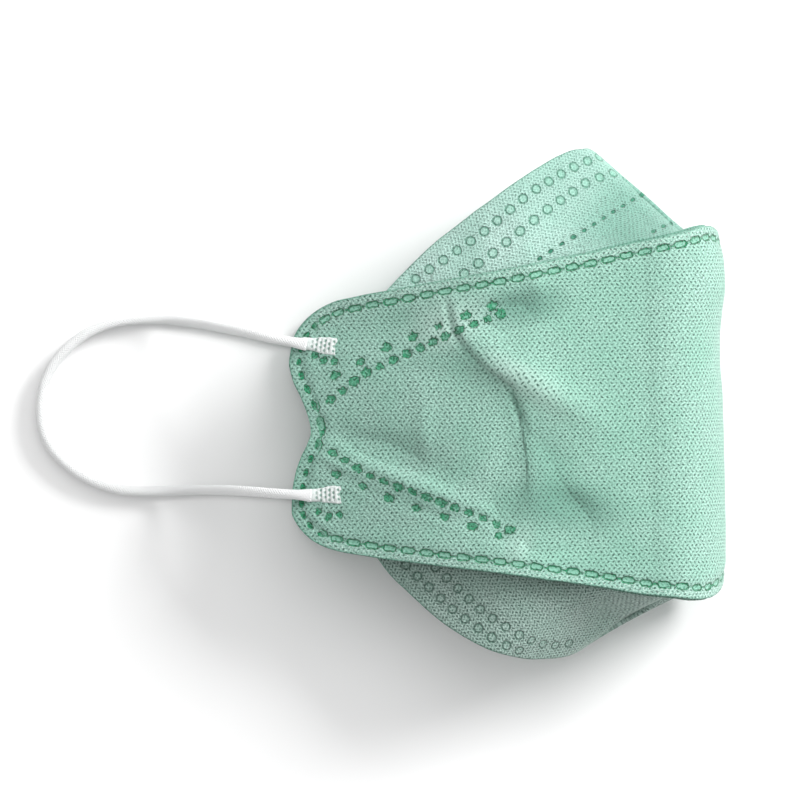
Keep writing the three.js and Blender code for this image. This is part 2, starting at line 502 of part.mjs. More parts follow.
// A loop's flattened end, welded on the outer face of a lobe; it follows the cloth
function loopEnd(side, up, turn, name, material) {
  const x = EAR_X + END_INSET, y = LOOP_MIDDLE + up * LOOP_SPREAD / 2;
  const a = turn * Math.PI / 180, cols = 5, rows = 4;
  const top = [], bottom = [];
  for (let i = 0; i < cols; i++) {
    const along = END_LENGTH * (i / (cols - 1)), share = i / (cols - 1);
    const wide = END_WIDTH * (0.78 + 0.22 * Math.sin(Math.PI * Math.min(1, share * 0.9)));
    for (let j = 0; j < rows; j++) {
      const across = wide * (j / (rows - 1) - 0.5);
      const px = x + along * Math.cos(a) - across * Math.sin(a);
      const py = y + along * Math.sin(a) + across * Math.cos(a);
      const u = side * (PLAN_START - px);
      top.push(inside(u, py, -(CLOTH / 2 + GAP + END_THICK)).point);
      bottom.push(inside(u, py, -(CLOTH / 2 + GAP)).point);
    }
  }
  const points = [...top, ...bottom], faces = [], n = cols * rows;
  const quad = (p, q, r, s) => faces.push(p, q, r, p, r, s);
  for (let i = 0; i + 1 < cols; i++) {
    for (let j = 0; j + 1 < rows; j++) {
      const p = i * rows + j;
      quad(p, p + rows, p + rows + 1, p + 1);
      quad(n + p, n + p + 1, n + p + rows + 1, n + p + rows);
    }
  }
  for (let i = 0; i + 1 < cols; i++) {
    const p = i * rows, q = p + rows - 1;
    quad(p + rows, p, n + p, n + p + rows);
    quad(q, q + rows, n + q + rows, n + q);
  }
  for (let j = 0; j + 1 < rows; j++) {
    const q = (cols - 1) * rows + j;
    quad(j, j + 1, n + j + 1, n + j);
    quad(q + 1, q, n + q, n + q + 1);
  }
  return meshOf(points, faces, name, material);
}

const cloth = (colour) => new THREE.MeshStandardMaterial({ color: colour, roughness: 0.9, metalness: 0 });
const elastic = () => new THREE.MeshStandardMaterial({ color: 0xe9ecec, roughness: 0.8, metalness: 0 });

const group = new THREE.Group();
group.add(centrePanel(cloth(0x9fd6bd)));
group.add(innerPanel(nosePanel, cloth(0xaee0ca)));
group.add(innerPanel(chinPanel, cloth(0x93bda8)));
group.add(loopEnd(1, 1, -8, "near_loop_upper_end", elastic()));
group.add(loopEnd(1, -1, 0, "near_loop_lower_end", elastic()));
group.add(loopEnd(-1, 1, -8, "far_loop_upper_end", elastic()));
group.add(loopEnd(-1, -1, 0, "far_loop_lower_end", elastic()));
group.add(loopCord(nearLoopRoute, "near_ear_loop", elastic()));
group.add(loopCord(farLoopRoute, "far_ear_loop", elastic()));
export default group;
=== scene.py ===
"""A fold-flat respirator of green nonwoven, half folded and lying on its side."""
import math
from functools import partialmethod
import bpy
import numpy as np
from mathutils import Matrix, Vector


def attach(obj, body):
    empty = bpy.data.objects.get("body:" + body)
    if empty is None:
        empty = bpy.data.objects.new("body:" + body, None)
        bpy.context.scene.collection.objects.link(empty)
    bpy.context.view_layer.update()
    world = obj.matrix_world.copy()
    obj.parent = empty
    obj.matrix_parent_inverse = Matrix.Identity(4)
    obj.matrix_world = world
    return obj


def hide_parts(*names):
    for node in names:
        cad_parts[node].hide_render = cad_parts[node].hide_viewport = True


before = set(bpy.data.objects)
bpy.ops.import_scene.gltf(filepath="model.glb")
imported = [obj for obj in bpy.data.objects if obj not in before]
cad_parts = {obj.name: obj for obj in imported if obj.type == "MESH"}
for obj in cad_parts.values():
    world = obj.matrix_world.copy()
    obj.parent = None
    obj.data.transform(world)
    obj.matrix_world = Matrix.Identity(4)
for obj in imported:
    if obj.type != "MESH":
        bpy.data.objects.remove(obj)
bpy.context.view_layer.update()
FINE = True
MM = 0.001

# Sizes of the part's source, in millimetres
HALF_LENGTH = 104.5  # flat length of half the centre panel, front fold to ear end
HALF_HEIGHT = 40.7  # half the height of the centre panel at the front
CLOTH = 1.0  # the three-layer cloth
GAP = 0.3  # between touching cloths
FOLD_RADIUS = 16.5  # the front fold of the centre panel
FOLD_X = 31  # where the front fold ends and the sides begin
FOLD_Z = 17  # height of the front fold's axis
SIDE_HEIGHT = 38  # the near side's crest above the surface
CORD = 2.2  # elastic cord across
LOOP_REACH = 56.5  # how far the loops reach past the ear end
LOOP_SPREAD = 33.2  # between the two welds of a loop
LOOP_MIDDLE = 1.4  # the middle of the two welds over the panel's middle line
END_LENGTH = 5.4  # the flattened end of a loop
END_INSET = 4.7  # from the ear end to where the flattened end begins
ARCH = 1.5  # how much the near side falls from its middle to its rims
PEEK = 0.35  # how far the inner panels' rims show past the centre panel's
HINGE_FADE = 9  # how far from its hinge a free part takes up its own slope
OPENING = 3.0  # how far the free parts stand off the ear lobes at most
RIDGE_RADIUS = 5.0  # round of the inner panels' ridges
TENT_HEIGHT = 11.5  # how far the cloth slopes down from a ridge before it runs level
LAY = np.array([-0.5, -3.2, 0.0])  # middle of the body's box over the origin
LAYER = CLOTH + GAP
FOLD_RUN = FOLD_RADIUS * math.pi / 2
PLAN_START = FOLD_X + FOLD_RUN  # plan x = PLAN_START - run on the sides
EAR_X = PLAN_START - HALF_LENGTH  # the ear end in plan
NEAR_LOBE_Z = 0.763 * SIDE_HEIGHT  # a cord's middle on the near lobes
FAR_CORD_Z = CORD / 2 + 0.05  # the far cord's middle, on the surface
NEAR_CORD_Z = FAR_CORD_Z + CORD + GAP  # the near cord's middle, on the far cord

# Sizes that only the scene has, in millimetres
RIM_WELD = 2.45  # the rim weld's middle inside the rim
RIM_PITCH = 4.07  # links of the rim weld
EAR_PITCH = 3.6  # bars of the weld along the ear end
LOBE_PITCH = 3.2  # welds of the lobes' inner rows
LOBE_OUTER_PITCH = 6.3  # and of their outer rows
LOBE_DENT = 0.42  # how deep those welds are
RING_PITCH = 3.65  # rings of the inner panels
RING_DENT_PITCH = 3.6  # and their dents
RING_DENT = 0.16
CREASE_DEPTH = 1.25  # the sharp valley along the crease
CREASE_WIDTH = 0.70
CENTRE_WEAVE = (1.10, 0.77)  # between pits in a row, and between rows
INNER_WEAVE = (0.86, 0.66)
END_WIDTH = 3.5  # the knit of a loop's flattened end
END_LIFT = 0.06  # how far it lies off the cloth
END_PRESS = 4.0  # length over which a cord flattens towards its weld
KNIT_PITCH = 1.05  # holes in a row of the knit
KNIT_ROW = 0.95
MAP_END = 9.0  # the largest distance that the maps hold


def table(columns, rows):
    return {c: np.array(v, float) for c, v in zip(columns.split(), zip(*rows))}


# Heights of the two sides, shares of SIDE_HEIGHT, at shares of HALF_LENGTH from the front
SIDE_SECTIONS = table("run near far", [
    (0.248, 0.882, 0.0132), (0.334, 0.925, 0.0132), (0.43, 0.968, 0.0132), (0.506, 1, 0.0132),
    (0.564, 1, 0.0132), (0.64, 0.968, 0.0132), (0.736, 0.908, 0.024), (0.832, 0.84, 0.05),
    (0.927, 0.77, 0.077), (1.01, 0.705, 0.095),
])

# Rim of the centre panel, laid flat: top from the front fold to the ear lobe, the ear
# end with its notch, and the bottom. run: share of HALF_LENGTH, rise: share of HALF_HEIGHT
TOP_RIM = table("run rise", [
    (0, 0.972), (0.05, 1), (0.082, 1.012), (0.112, 1.006), (0.168, 0.977), (0.234, 0.948), (0.29, 0.922),
    (0.354, 0.89), (0.417, 0.864), (0.49, 0.83), (0.56, 0.803), (0.63, 0.778), (0.7, 0.752), (0.795, 0.715),
    (0.833, 0.702), (0.865, 0.687), (0.897, 0.672), (0.922, 0.648), (0.948, 0.61), (0.972, 0.553),
    (0.988, 0.492), (0.996, 0.418), (1.001, 0.339),
])

EAR_RIM = table("run rise", [
    (1.001, 0.339), (0.997, 0.285), (0.991, 0.231), (0.981, 0.177), (0.972, 0.12), (0.965, 0.066),
    (0.96, 0.005), (0.959, -0.03), (0.966, -0.091), (0.982, -0.17), (0.994, -0.251), (1.003, -0.356),
])

BOTTOM_RIM = table("run rise", [
    (0, -0.912), (0.046, -0.956), (0.086, -0.984), (0.117, -1), (0.152, -1.002), (0.207, -0.986),
    (0.273, -0.964), (0.347, -0.924), (0.422, -0.889), (0.497, -0.857), (0.546, -0.835), (0.615, -0.807),
    (0.685, -0.781), (0.754, -0.753), (0.817, -0.728), (0.858, -0.708), (0.9, -0.687), (0.932, -0.662),
    (0.961, -0.624), (0.982, -0.575), (0.996, -0.526), (1.005, -0.466), (1.003, -0.356),
])

# How far the front line bows out of the fold, shares of FOLD_RADIUS, by height
FRONT_BOW = table("rise out", [
    (-1, -0.109), (-0.91, -0.079), (-0.85, -0.055), (-0.7, -0.036), (-0.32, -0.018), (-0.12, -0.012),
    (0.07, -0.012), (0.27, -0.03), (0.41, -0.018), (0.54, 0.018), (0.69, 0.073), (0.81, 0.067),
    (0.9, 0.036), (1.02, -0.018),
])

# The soft crease across the near side: how far along it stands at each height
CREASE_LINE = table("rise run", [
    (-0.737, 0.569), (-0.58, 0.553), (-0.526, 0.539), (-0.4, 0.511), (-0.292, 0.507), (-0.167, 0.51),
    (0.012, 0.519), (0.177, 0.537), (0.273, 0.589), (0.383, 0.626), (0.494, 0.654), (0.688, 0.669),
])

# Dents and swells of the near side: middle, half widths (shares of HALF_HEIGHT), turn in
# degrees and height (share of SIDE_HEIGHT)
SWELLS = table("run rise wide tall turn out", [
    (0.515, 0.609, 0.16, 0.088, 8, -0.021), (0.417, -0.462, 0.123, 0.064, -25, -0.021),
    (0.516, 0.231, 0.27, 0.064, -30, 0.021), (0.42, 0.074, 0.221, 0.074, -30, 0.013),
    (0.774, -0.135, 0.197, 0.098, -18, -0.018), (0.793, -0.258, 0.27, 0.044, -25, 0.013),
    (0.722, -0.074, 0.049, 0.197, 0, 0.013), (0.937, 0.59, 0.221, 0.16, 40, -0.021),
    (0.43, -0.221, 0.172, 0.123, -40, -0.013),
])

# Finer folds, dents and puckers of the near side, as in SWELLS
FOLDS = table("run rise wide tall turn out", [
    (0.54, 0.312, 0.295, 0.088, -33, 0.0185), (0.458, 0.153, 0.27, 0.123, -25, 0.023),
    (0.543, 0.547, 0.185, 0.093, 5, -0.05), (0.48, -0.555, 0.27, 0.15, -12, -0.07),
    (0.799, -0.169, 0.319, 0.086, -22, -0.042), (0.734, -0.353, 0.442, 0.059, -22, 0.026),
    (0.635, -0.021, 0.197, 0.221, 0, 0.016), (0.505, -0.3, 0.185, 0.28, 15, -0.048),
    (0.528, -0.679, 0.039, 0.111, -10, 0.0132), (0.476, 0.728, 0.039, 0.064, 20, 0.0118),
    (0.235, 0.805, 0.029, 0.059, 15, 0.0092), (0.692, 0.4, 0.246, 0.135, 25, 0.024),
])

# Sections of the two inner panels from the ridge to the ear: the share of the rim, where
# the hinge line runs on the flat centre panel, and where the free edge stands in plan.
# rim: share of the rim's length, hinge and free: shares of HALF_LENGTH from the front,
# hingeUp and freeUp: shares of HALF_HEIGHT
NOSE_SECTIONS = table("rim hinge hingeUp free freeUp", [
    (0, 0, 0.8845, 0.3294, 1.3956), (0.0312, 0.0383, 0.9066, 0.3428, 1.4275),
    (0.0625, 0.0766, 0.9214, 0.3609, 1.4496), (0.0976, 0.1196, 0.9189, 0.3849, 1.4472),
    (0.1406, 0.1722, 0.8968, 0.4212, 1.4152), (0.1874, 0.2297, 0.8747, 0.4643, 1.3563),
    (0.246, 0.2967, 0.8403, 0.516, 1.2752), (0.3046, 0.3684, 0.7961, 0.5696, 1.1818),
    (0.3709, 0.445, 0.715, 0.627, 1.0762), (0.449, 0.5263, 0.6093, 0.6882, 0.9607),
    (0.5388, 0.6124, 0.5135, 0.7514, 0.8133), (0.6325, 0.6986, 0.4226, 0.8107, 0.6609),
    (0.7419, 0.7847, 0.3194, 0.8652, 0.4963), (0.8512, 0.8708, 0.2015, 0.9121, 0.3096),
    (0.965, 0.9474, 0.0885, 0.9485, 0.1327),
])

CHIN_SECTIONS = table("rim hinge hingeUp free freeUp", [
    (0, 0, -0.8305, 0.405, -1.2506), (0.0306, 0.0383, -0.8673, 0.4184, -1.2678),
    (0.0612, 0.0766, -0.8993, 0.4375, -1.285), (0.0957, 0.1196, -0.9214, 0.4672, -1.2948),
    (0.1378, 0.1722, -0.9263, 0.5045, -1.2948), (0.1837, 0.2297, -0.9066, 0.5533, -1.2752),
    (0.2411, 0.2967, -0.8747, 0.603, -1.2334), (0.2985, 0.3684, -0.8231, 0.6499, -1.1671),
    (0.3636, 0.445, -0.7322, 0.7007, -1.0737), (0.4401, 0.5263, -0.6241, 0.7542, -0.9435),
    (0.5282, 0.6124, -0.5258, 0.804, -0.8084), (0.62, 0.6986, -0.4373, 0.8451, -0.6511),
    (0.7272, 0.7847, -0.3342, 0.8853, -0.4742), (0.8344, 0.8708, -0.2211, 0.9227, -0.3047),
    (0.965, 0.9474, -0.1106, 0.9514, -0.1572),
])

# The ridge of each inner panel in plan, from its hinge (t 0) to its free edge (t 1)
NOSE_RIDGE = table("t run rise", [
    (0, 0.1179, 0.8845), (0.12, 0.1485, 0.9337), (0.25, 0.181, 1.0074), (0.5, 0.2308, 1.1474),
    (0.75, 0.2815, 1.2727), (1, 0.3294, 1.3956),
])

CHIN_RIDGE = table("t run rise", [
    (0, 0.1313, -0.8305), (0.12, 0.1581, -0.8845), (0.25, 0.1944, -0.9361), (0.5, 0.2672, -1.0295),
    (0.75, 0.3351, -1.1351), (1, 0.405, -1.2506),
])

# Elastic loops, each from its upper weld to its lower weld. out: share of LOOP_REACH past
# the ear end, up: share of LOOP_SPREAD from the middle of the welds, drop: share of the
# way down from the near lobe to the height at which the near cord lies on the far one
NEAR_LOOP_ROUTE = table("out up drop", [
    (-0.0687, 0.5, -0.0335), (-0.0172, 0.5182, -0.002), (0.0663, 0.5486, 0.0565), (0.1593, 0.5916, 0.1945),
    (0.2459, 0.6259, 0.3975), (0.3314, 0.6606, 0.6381), (0.4007, 0.6828, 0.8067), (0.4732, 0.7018, 0.9247),
    (0.5471, 0.7082, 0.9794), (0.6153, 0.7083, 0.9976), (0.6762, 0.6992, 1), (0.7388, 0.6718, 1),
    (0.7996, 0.6261, 1), (0.8587, 0.5591, 1), (0.9106, 0.4739, 1), (0.9535, 0.3703, 1), (0.9786, 0.2607, 1),
    (0.9893, 0.148, 1), (0.9875, 0.0475, 1), (0.975, -0.053, 1), (0.9464, -0.1444, 1), (0.907, -0.2236, 1),
    (0.8569, -0.2967, 1), (0.7978, -0.3576, 1), (0.7388, -0.4002, 1), (0.6797, -0.4276, 1),
    (0.6207, -0.4398, 0.9979), (0.5525, -0.4443, 0.9824), (0.4805, -0.444, 0.9357),
    (0.3988, -0.4432, 0.8023), (0.3096, -0.4464, 0.5759), (0.2242, -0.4541, 0.3464),
    (0.1378, -0.4681, 0.162), (0.0539, -0.4825, 0.0472), (-0.0208, -0.4942, -0.0158),
    (-0.0696, -0.5, -0.0434),
])

FAR_LOOP_ROUTE = table("out up", [
    (-0.0705, 0.494), (-0.0124, 0.523), (0.0718, 0.5535), (0.1649, 0.5962), (0.2509, 0.6297),
    (0.3351, 0.6633), (0.4032, 0.6846), (0.4749, 0.7029), (0.5483, 0.709), (0.6164, 0.709),
    (0.6773, 0.6998), (0.74, 0.6724), (0.8009, 0.6267), (0.86, 0.5596), (0.912, 0.4742), (0.955, 0.3706),
    (0.9801, 0.2608), (0.9908, 0.148), (0.989, 0.0474), (0.9765, -0.0532), (0.9478, -0.1447),
    (0.9084, -0.2239), (0.8582, -0.2971), (0.7991, -0.3581), (0.74, -0.4007), (0.6809, -0.4282),
    (0.6218, -0.4404), (0.5537, -0.445), (0.482, -0.445), (0.4014, -0.445), (0.3136, -0.4495),
    (0.2294, -0.4587), (0.1434, -0.4739), (0.0592, -0.4892), (-0.016, -0.5014), (-0.0705, -0.497),
])

# Weld rows: how many marks, which way round the distance from the row counts, and a line of
# places. On the centre panel the places are run, share of HALF_LENGTH, and rise, share of
# HALF_HEIGHT; on the inner panels millimetres from the ridge and along it
LOBE_ROWS = [
    (14, 1, [(0.914, 0.140), (0.840, 0.278), (0.729, 0.396), (0.638, 0.494), (0.5523, 0.575)]),
    (14, -1, [(0.914, -0.147), (0.840, -0.273), (0.755, -0.361), (0.650, -0.476), (0.5495, -0.592)]),
    (3, -1, [(0.945, 0.385), (0.930, 0.352), (0.905, 0.345)]),
    (3, 1, [(0.948, -0.462), (0.932, -0.490), (0.905, -0.482)]),
]
LOBE_OUTER_ROWS = [
    (7, 1, [(0.9035, 0.268), (0.788, 0.420), (0.668, 0.531), (0.5696, 0.617)]),
    (7, -1, [(0.9073, -0.265), (0.784, -0.418), (0.670, -0.528), (0.5734, -0.622)]),
]
NOSE_ROWS = [
    (15, 1, [(2.0, 31.0), (9.7, 33.9), (20.9, 36.7), (35.1, 38.3), (51.9, 42.0)]),
    (14, -1, [(2.0, 18.4), (10.9, 20.7), (19.8, 22.8), (38.6, 27.4)]),
    (3, 1, [(1.4, 9.2), (7.0, 10.6)]),
]
NOSE_OUTER_ROWS = [(14, 1, [(2.8, 26.4), (9.3, 29.2), (21.85, 31.6), (36.5, 33.6), (51.3, 36.5)])]
CHIN_ROWS = [(10, 1, [(12.8, 45.0), (18.7, 48.1), (28.2, 51.6), (42.9, 54.5)])]
CHIN_OUTER_ROWS = [(12, 1, [(5.8, 35.1), (8.6, 39.0), (15.2, 42.6), (24.0, 46.4), (38.8, 49.4)])]


def read(tab, key, at, value):
    """Cubic through a table's rows that never overshoots."""
    x, y, at = tab[key], tab[value], np.asarray(at, float)
    h = np.diff(x)
    d = np.diff(y) / h
    m = np.zeros_like(x)
    m[0], m[-1] = d[0], d[-1]
    a, b = d[:-1], d[1:]
    ok = a * b > 0
    m[1:-1][ok] = 2 * a[ok] * b[ok] / (a[ok] + b[ok])
    k = np.clip(np.searchsorted(x, at, "right") - 1, 0, len(x) - 2)
    f = np.clip((at - x[k]) / h[k], 0, 1)
    f2, f3 = f * f, f * f * f
    return ((2 * f3 - 3 * f2 + 1) * y[k] + (f3 - 2 * f2 + f) * m[k] * h[k]
            + (3 * f2 - 2 * f3) * y[k + 1] + (f3 - f2) * m[k + 1] * h[k])


def smooth(a, b, v):
    f = np.clip((v - a) / (b - a), 0, 1)
    return f * f * (3 - 2 * f)


def length(v):
    return np.linalg.norm(v, axis=-1)


def unit(v):
    return v / np.maximum(np.linalg.norm(v, axis=-1, keepdims=True), 1e-12)


def rim_line(*tabs):
    u = np.concatenate([t["run"] for t in tabs]) * HALF_LENGTH
    y = np.concatenate([t["rise"] for t in tabs]) * HALF_HEIGHT
    d = np.concatenate([[0], np.cumsum(np.hypot(np.diff(u), np.diff(y)))])
    return {"u": u, "y": y, "d": d}


def part(tab, a, b, step=1):
    return {k: v[a:b][::step] for k, v in tab.items()}


TOP_LINE, BOTTOM_LINE, EAR_LINE = rim_line(TOP_RIM), rim_line(BOTTOM_RIM), rim_line(EAR_RIM)
NOSE_RIM = rim_line(TOP_RIM, part(EAR_RIM, 1, 7))
CHIN_RIM = rim_line(BOTTOM_RIM, part(EAR_RIM, 6, 11, -1))


def on_rim(line, share):
    d = np.asarray(share) * line["d"][-1]
    return read(line, "d", d, "u"), read(line, "d", d, "y")


def side_height(x, side):
    run = (PLAN_START - np.asarray(x)) / HALF_LENGTH
    near, far = read(SIDE_SECTIONS, "run", run, "near"), read(SIDE_SECTIONS, "run", run, "far")
    return SIDE_HEIGHT * np.where(side > 0, near, far)


def both_sides(x):
    """Heights of the two sides, level past the start of the front fold."""
    plan = np.minimum(x, FOLD_X)
    return side_height(plan, 1), side_height(plan, -1)


def turned(x, y, degrees):
    """A place seen from axes turned by an angle."""
    c, s = math.cos(math.radians(degrees)), math.sin(math.radians(degrees))
    return x * c + y * s, y * c - x * s


def swells(tab, u, y):
    """Sum of a table's dents and swells at places of the flat panel."""
    out = np.zeros_like(u)
    for run, rise, wide, tall, turn, height in zip(*tab.values()):
        along, across = turned(run * HALF_LENGTH - u, y - rise * HALF_HEIGHT, turn)
        along, across = along / (wide * HALF_HEIGHT), across / (tall * HALF_HEIGHT)
        out += height * SIDE_HEIGHT * np.exp(-(along * along + across * across))
    return out


def crease_off(u, y):
    """How far places of the flat panel are from the crease."""
    line = np.stack([CREASE_LINE["run"] * HALF_LENGTH, CREASE_LINE["rise"] * HALF_HEIGHT], -1)
    return nearest_on(np.stack([u, y], -1), line)[1]


def fold_relief(u, y):
    """Finer folds of the near side, and the sharp valley of the crease."""
    ends = 1 - smooth(0.50, 0.72, abs(y / HALF_HEIGHT))
    return swells(FOLDS, u, y) - CREASE_DEPTH * ends * np.exp(-((crease_off(u, y) / CREASE_WIDTH) ** 2))


def near_relief(u, y):
    """Arch, step of the crease and main dents of the near side, as in the part's source."""
    rise = y / HALF_HEIGHT
    on = smooth(FOLD_RUN * 0.7, FOLD_RUN * 1.5, u)
    past = read(CREASE_LINE, "rise", rise, "run") * HALF_LENGTH - u
    fade = np.exp(-(((past + 9) / 12) ** 2)) * (1 - smooth(0.47, 0.71, abs(rise)))
    step = fade * (0.9 * np.tanh(past / 1.6) - 0.5)
    return on * (step + swells(SWELLS, u, y) - ARCH * rise * rise)


def panel_base(u, y):
    """The centre panel's middle surface without relief. u is minus on the far side."""
    side, run = np.where(u < 0, -1.0, 1.0), abs(u)
    bow = read(FRONT_BOW, "rise", y / HALF_HEIGHT, "out") * FOLD_RADIUS * (1 - smooth(0, FOLD_RUN, run))
    a = np.minimum(run, FOLD_RUN) / FOLD_RADIUS
    on_side = run >= FOLD_RUN
    x = np.where(on_side, PLAN_START - run, FOLD_X + (FOLD_RADIUS + bow) * np.cos(a))
    round_z = FOLD_Z + side * (FOLD_RADIUS + bow * 0.3) * np.sin(a)
    return np.stack([x, y + 0 * x, np.where(on_side, side_height(x, side), round_z)], -1)


def panel_surface(u, y):
    """The centre panel's middle surface with its main relief."""
    e = 0.2
    p, a, b = panel_base(u, y), panel_base(u + e, y), panel_base(u - e, y)
    n = unit(np.stack([a[..., 2] - b[..., 2], 0 * u, b[..., 0] - a[..., 0]], -1))
    return p + n * np.where(u > 0, near_relief(np.maximum(u, 0), y), 0)[..., None]


def inside(u, y, depth):
    """The centre panel's middle surface moved into the hollow, and the way into it."""
    e = 0.3
    n = unit(np.cross(panel_surface(u + e, y) - panel_surface(u - e, y),
                      panel_surface(u, y + e) - panel_surface(u, y - e)))
    return panel_surface(u, y) + n * depth, n


def noise(a, b, seed, size, octaves=3):
    """Smooth noise over a plane, about -1 to 1."""
    out, gain = np.zeros(np.broadcast(a, b).shape), 1.0
    for o in range(octaves):
        x, y = a / size, b / size
        i, j = np.floor(x), np.floor(y)
        f, g = smooth(0, 1, x - i), smooth(0, 1, y - j)

        def corner(p, q):
            return np.mod(np.sin(p * 127.1 + q * 311.7 + (seed + o) * 74.7) * 43758.5453, 1) * 2 - 1
        out += gain * ((corner(i, j) * (1 - f) + corner(i + 1, j) * f) * (1 - g)
                       + (corner(i, j + 1) * (1 - f) + corner(i + 1, j + 1) * f) * g)
        gain, size = gain * 0.5, size * 0.5
    return out / 1.75


def nearest_on(points, line):
    """(distance along the line, distance from it) of the nearest place on it, and its side."""
    best = np.full(points.shape[:-1], 1e9)
    along, sign = np.zeros_like(best), np.ones_like(best)
    start = 0.0
    for a, b in zip(line[:-1], line[1:]):
        ab = b - a
        long = length(ab)
        f = np.clip((points - a) @ ab / (long * long), 0, 1)
        off = points - a - f[..., None] * ab
        d = length(off)
        hit = d < best
        best, along = np.where(hit, d, best), np.where(hit, start + f * long, along)
        if points.shape[-1] == 2:
            sign = np.where(hit, np.sign(ab[0] * off[..., 1] - ab[1] * off[..., 0]), sign)
        start += long
    return along, best, sign


def run_along(line):
    """Distance of each of a line's points from its first one."""
    return np.concatenate([[0], np.cumsum(length(np.diff(line, axis=0)))])


def finer(line, step):
    """A line's points about step apart."""
    d = run_along(line)
    at = np.linspace(0, d[-1], max(2, int(d[-1] / step)))
    return np.stack([np.interp(at, d, line[:, k]) for k in range(line.shape[1])], -1)


def marks_map(x, y, rows):
    """For each place: which mark of a row it is next to, and how far it is from the row."""
    pos, far = np.zeros_like(x), np.full_like(x, 30.0)
    for k, (count, flip, line) in enumerate(rows):
        line = np.array(line, float)
        steps = length(np.diff(line, axis=0))
        half = steps.sum() / (count - 1) / 2
        line = np.concatenate([[line[0] - (line[1] - line[0]) / steps[0] * half], line,
                               [line[-1] + (line[-1] - line[-2]) / steps[-1] * half]])
        s, d, sign = nearest_on(np.stack([x, y], -1), line)
        hit = d < abs(far)
        pos = np.where(hit, s / (steps.sum() + 2 * half) * count + 100 * k, pos)
        far = np.where(hit, d * sign * flip, far)
    return np.stack([pos, np.clip(far, -MAP_END, MAP_END)], -1)


def on_lobes(rows):
    return [(count, flip, [(run * HALF_LENGTH, rise * HALF_HEIGHT) for run, rise in line])
            for count, flip, line in rows]


def sheet_faces(n, m):
    """Quads of a closed sheet of n by m points a side: top, bottom and the four rims."""
    i, j = np.meshgrid(np.arange(n - 1), np.arange(m - 1), indexing="ij")
    a, low = (i * m + j).ravel(), n * m
    top = np.stack([a, a + m, a + m + 1, a + 1], -1)
    ki, kj, last = np.arange(n - 1) * m, np.arange(m - 1), (n - 1) * m
    rims = [np.stack([p, q, q + low, p + low], -1) for p, q in (
        (ki + m, ki), (ki + m - 1, ki + 2 * m - 1), (kj, kj + 1), (last + kj + 1, last + kj))]
    return np.concatenate([top, top[:, ::-1] + low, *rims])


def smooth_mesh(name, points, faces):
    """A smooth mesh from points in the part's own millimetres."""
    mesh = bpy.data.meshes.new(name)
    mesh.from_pydata(((points + LAY) * MM).tolist(), [], faces)
    mesh.shade_smooth()
    return mesh


def place(name, data):
    obj = bpy.data.objects.new(name, data)
    bpy.context.scene.collection.objects.link(obj)
    return obj


def stand_for(obj, node):
    """Ties a piece to its node of the part."""
    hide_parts(node)
    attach(obj, "root")


def cloth_mesh(name, mid, maps, thick=CLOTH, relief=0.0):
    """A closed cloth piece: middle points [station][row], half a cloth to each side."""
    n, m = mid.shape[:2]
    nrm = unit(np.cross(np.gradient(mid, axis=0), np.gradient(mid, axis=1)))
    t = np.broadcast_to(np.asarray(thick, float), (n, m))[..., None] / 2
    outer = t + np.broadcast_to(np.asarray(relief, float), (n, m))[..., None]
    points = np.concatenate([(mid + nrm * t).reshape(-1, 3), (mid - nrm * outer).reshape(-1, 3)])
    faces = sheet_faces(n, m)
    a, b, c = (points[faces[:, k]] for k in (0, 1, 2))
    if (a * np.cross(b, c)).sum() < 0:
        faces = faces[:, ::-1]
    mesh = smooth_mesh(name, points, faces.tolist())
    for key, value in maps.items():
        layer = mesh.uv_layers.new(name=key)
        both = np.concatenate([value.reshape(-1, 2), value.reshape(-1, 2)])
        layer.data.foreach_set("uv", both[faces.ravel()].astype(np.float32).ravel())
    mesh.validate()
    return place(name, mesh)


# The centre panel
def flat_point(a, w):
    """Place on the flat half panel, a from the front fold to the ear end and w upwards."""
    (tu, ty), (bu, by), (eu, ey) = on_rim(TOP_LINE, a), on_rim(BOTTOM_LINE, a), on_rim(EAR_LINE, 1 - w)
    y0, y1 = BOTTOM_LINE["y"][0], TOP_LINE["y"][0]
    (cu, cy), (du, dy) = on_rim(BOTTOM_LINE, 1), on_rim(TOP_LINE, 1)
    u = (1 - w) * bu + w * tu + a * eu - a * ((1 - w) * cu + w * du)
    y = ((1 - w) * by + w * ty + (1 - a) * (y0 + (y1 - y0) * w) + a * ey
         - (1 - a) * ((1 - w) * y0 + w * y1) - a * ((1 - w) * cy + w * dy))
    return u, y


def rim_of(points):
    """Distance along and from the rim of a half panel."""
    top, ear, bottom = (np.stack([k["u"], k["y"]], -1) for k in (TOP_LINE, EAR_LINE, BOTTOM_LINE))
    return nearest_on(points, np.concatenate([top, ear[1:], bottom[::-1][1:]]))[:2]


def dimple(marks, pitch, depth, radius):
    """Relief of a row of marks: dents, and a soft quilted swell beside them."""
    pos, d = marks[..., 0], abs(marks[..., 1])
    cell = np.mod(pos, 1) - 0.5
    lift = 0.75 + 0.35 * np.sin(np.floor(pos) * 2.4)
    out = -depth * lift * np.exp(-((np.hypot(cell * pitch, d) / radius) ** 2))
    return out + 0.35 * depth * np.exp(-(((d - 1.9) / 0.9) ** 2)) * (0.6 + 0.4 * np.sin(pos * 1.7))


def weld_relief(u, y, rim_s, rim_d):
    """Relief along the rim: the weld's channel, the swell inside it and the wavy outer edge."""
    beat = 0.5 + 0.5 * np.cos(2 * np.pi * (rim_s / RIM_PITCH - 0.5))
    out = -(0.16 + 0.16 * beat) * np.exp(-(((rim_d - RIM_WELD) / 0.75) ** 2))
    out += 0.12 * np.exp(-(((rim_d - RIM_WELD - 2.2) / 1.3) ** 2)) * (0.5 + noise(u, y, 5, 3.2))
    return out + 0.10 * np.exp(-(((rim_d - 0.7) / 0.6) ** 2)) * noise(rim_s, rim_s * 0, 9, 2.4)


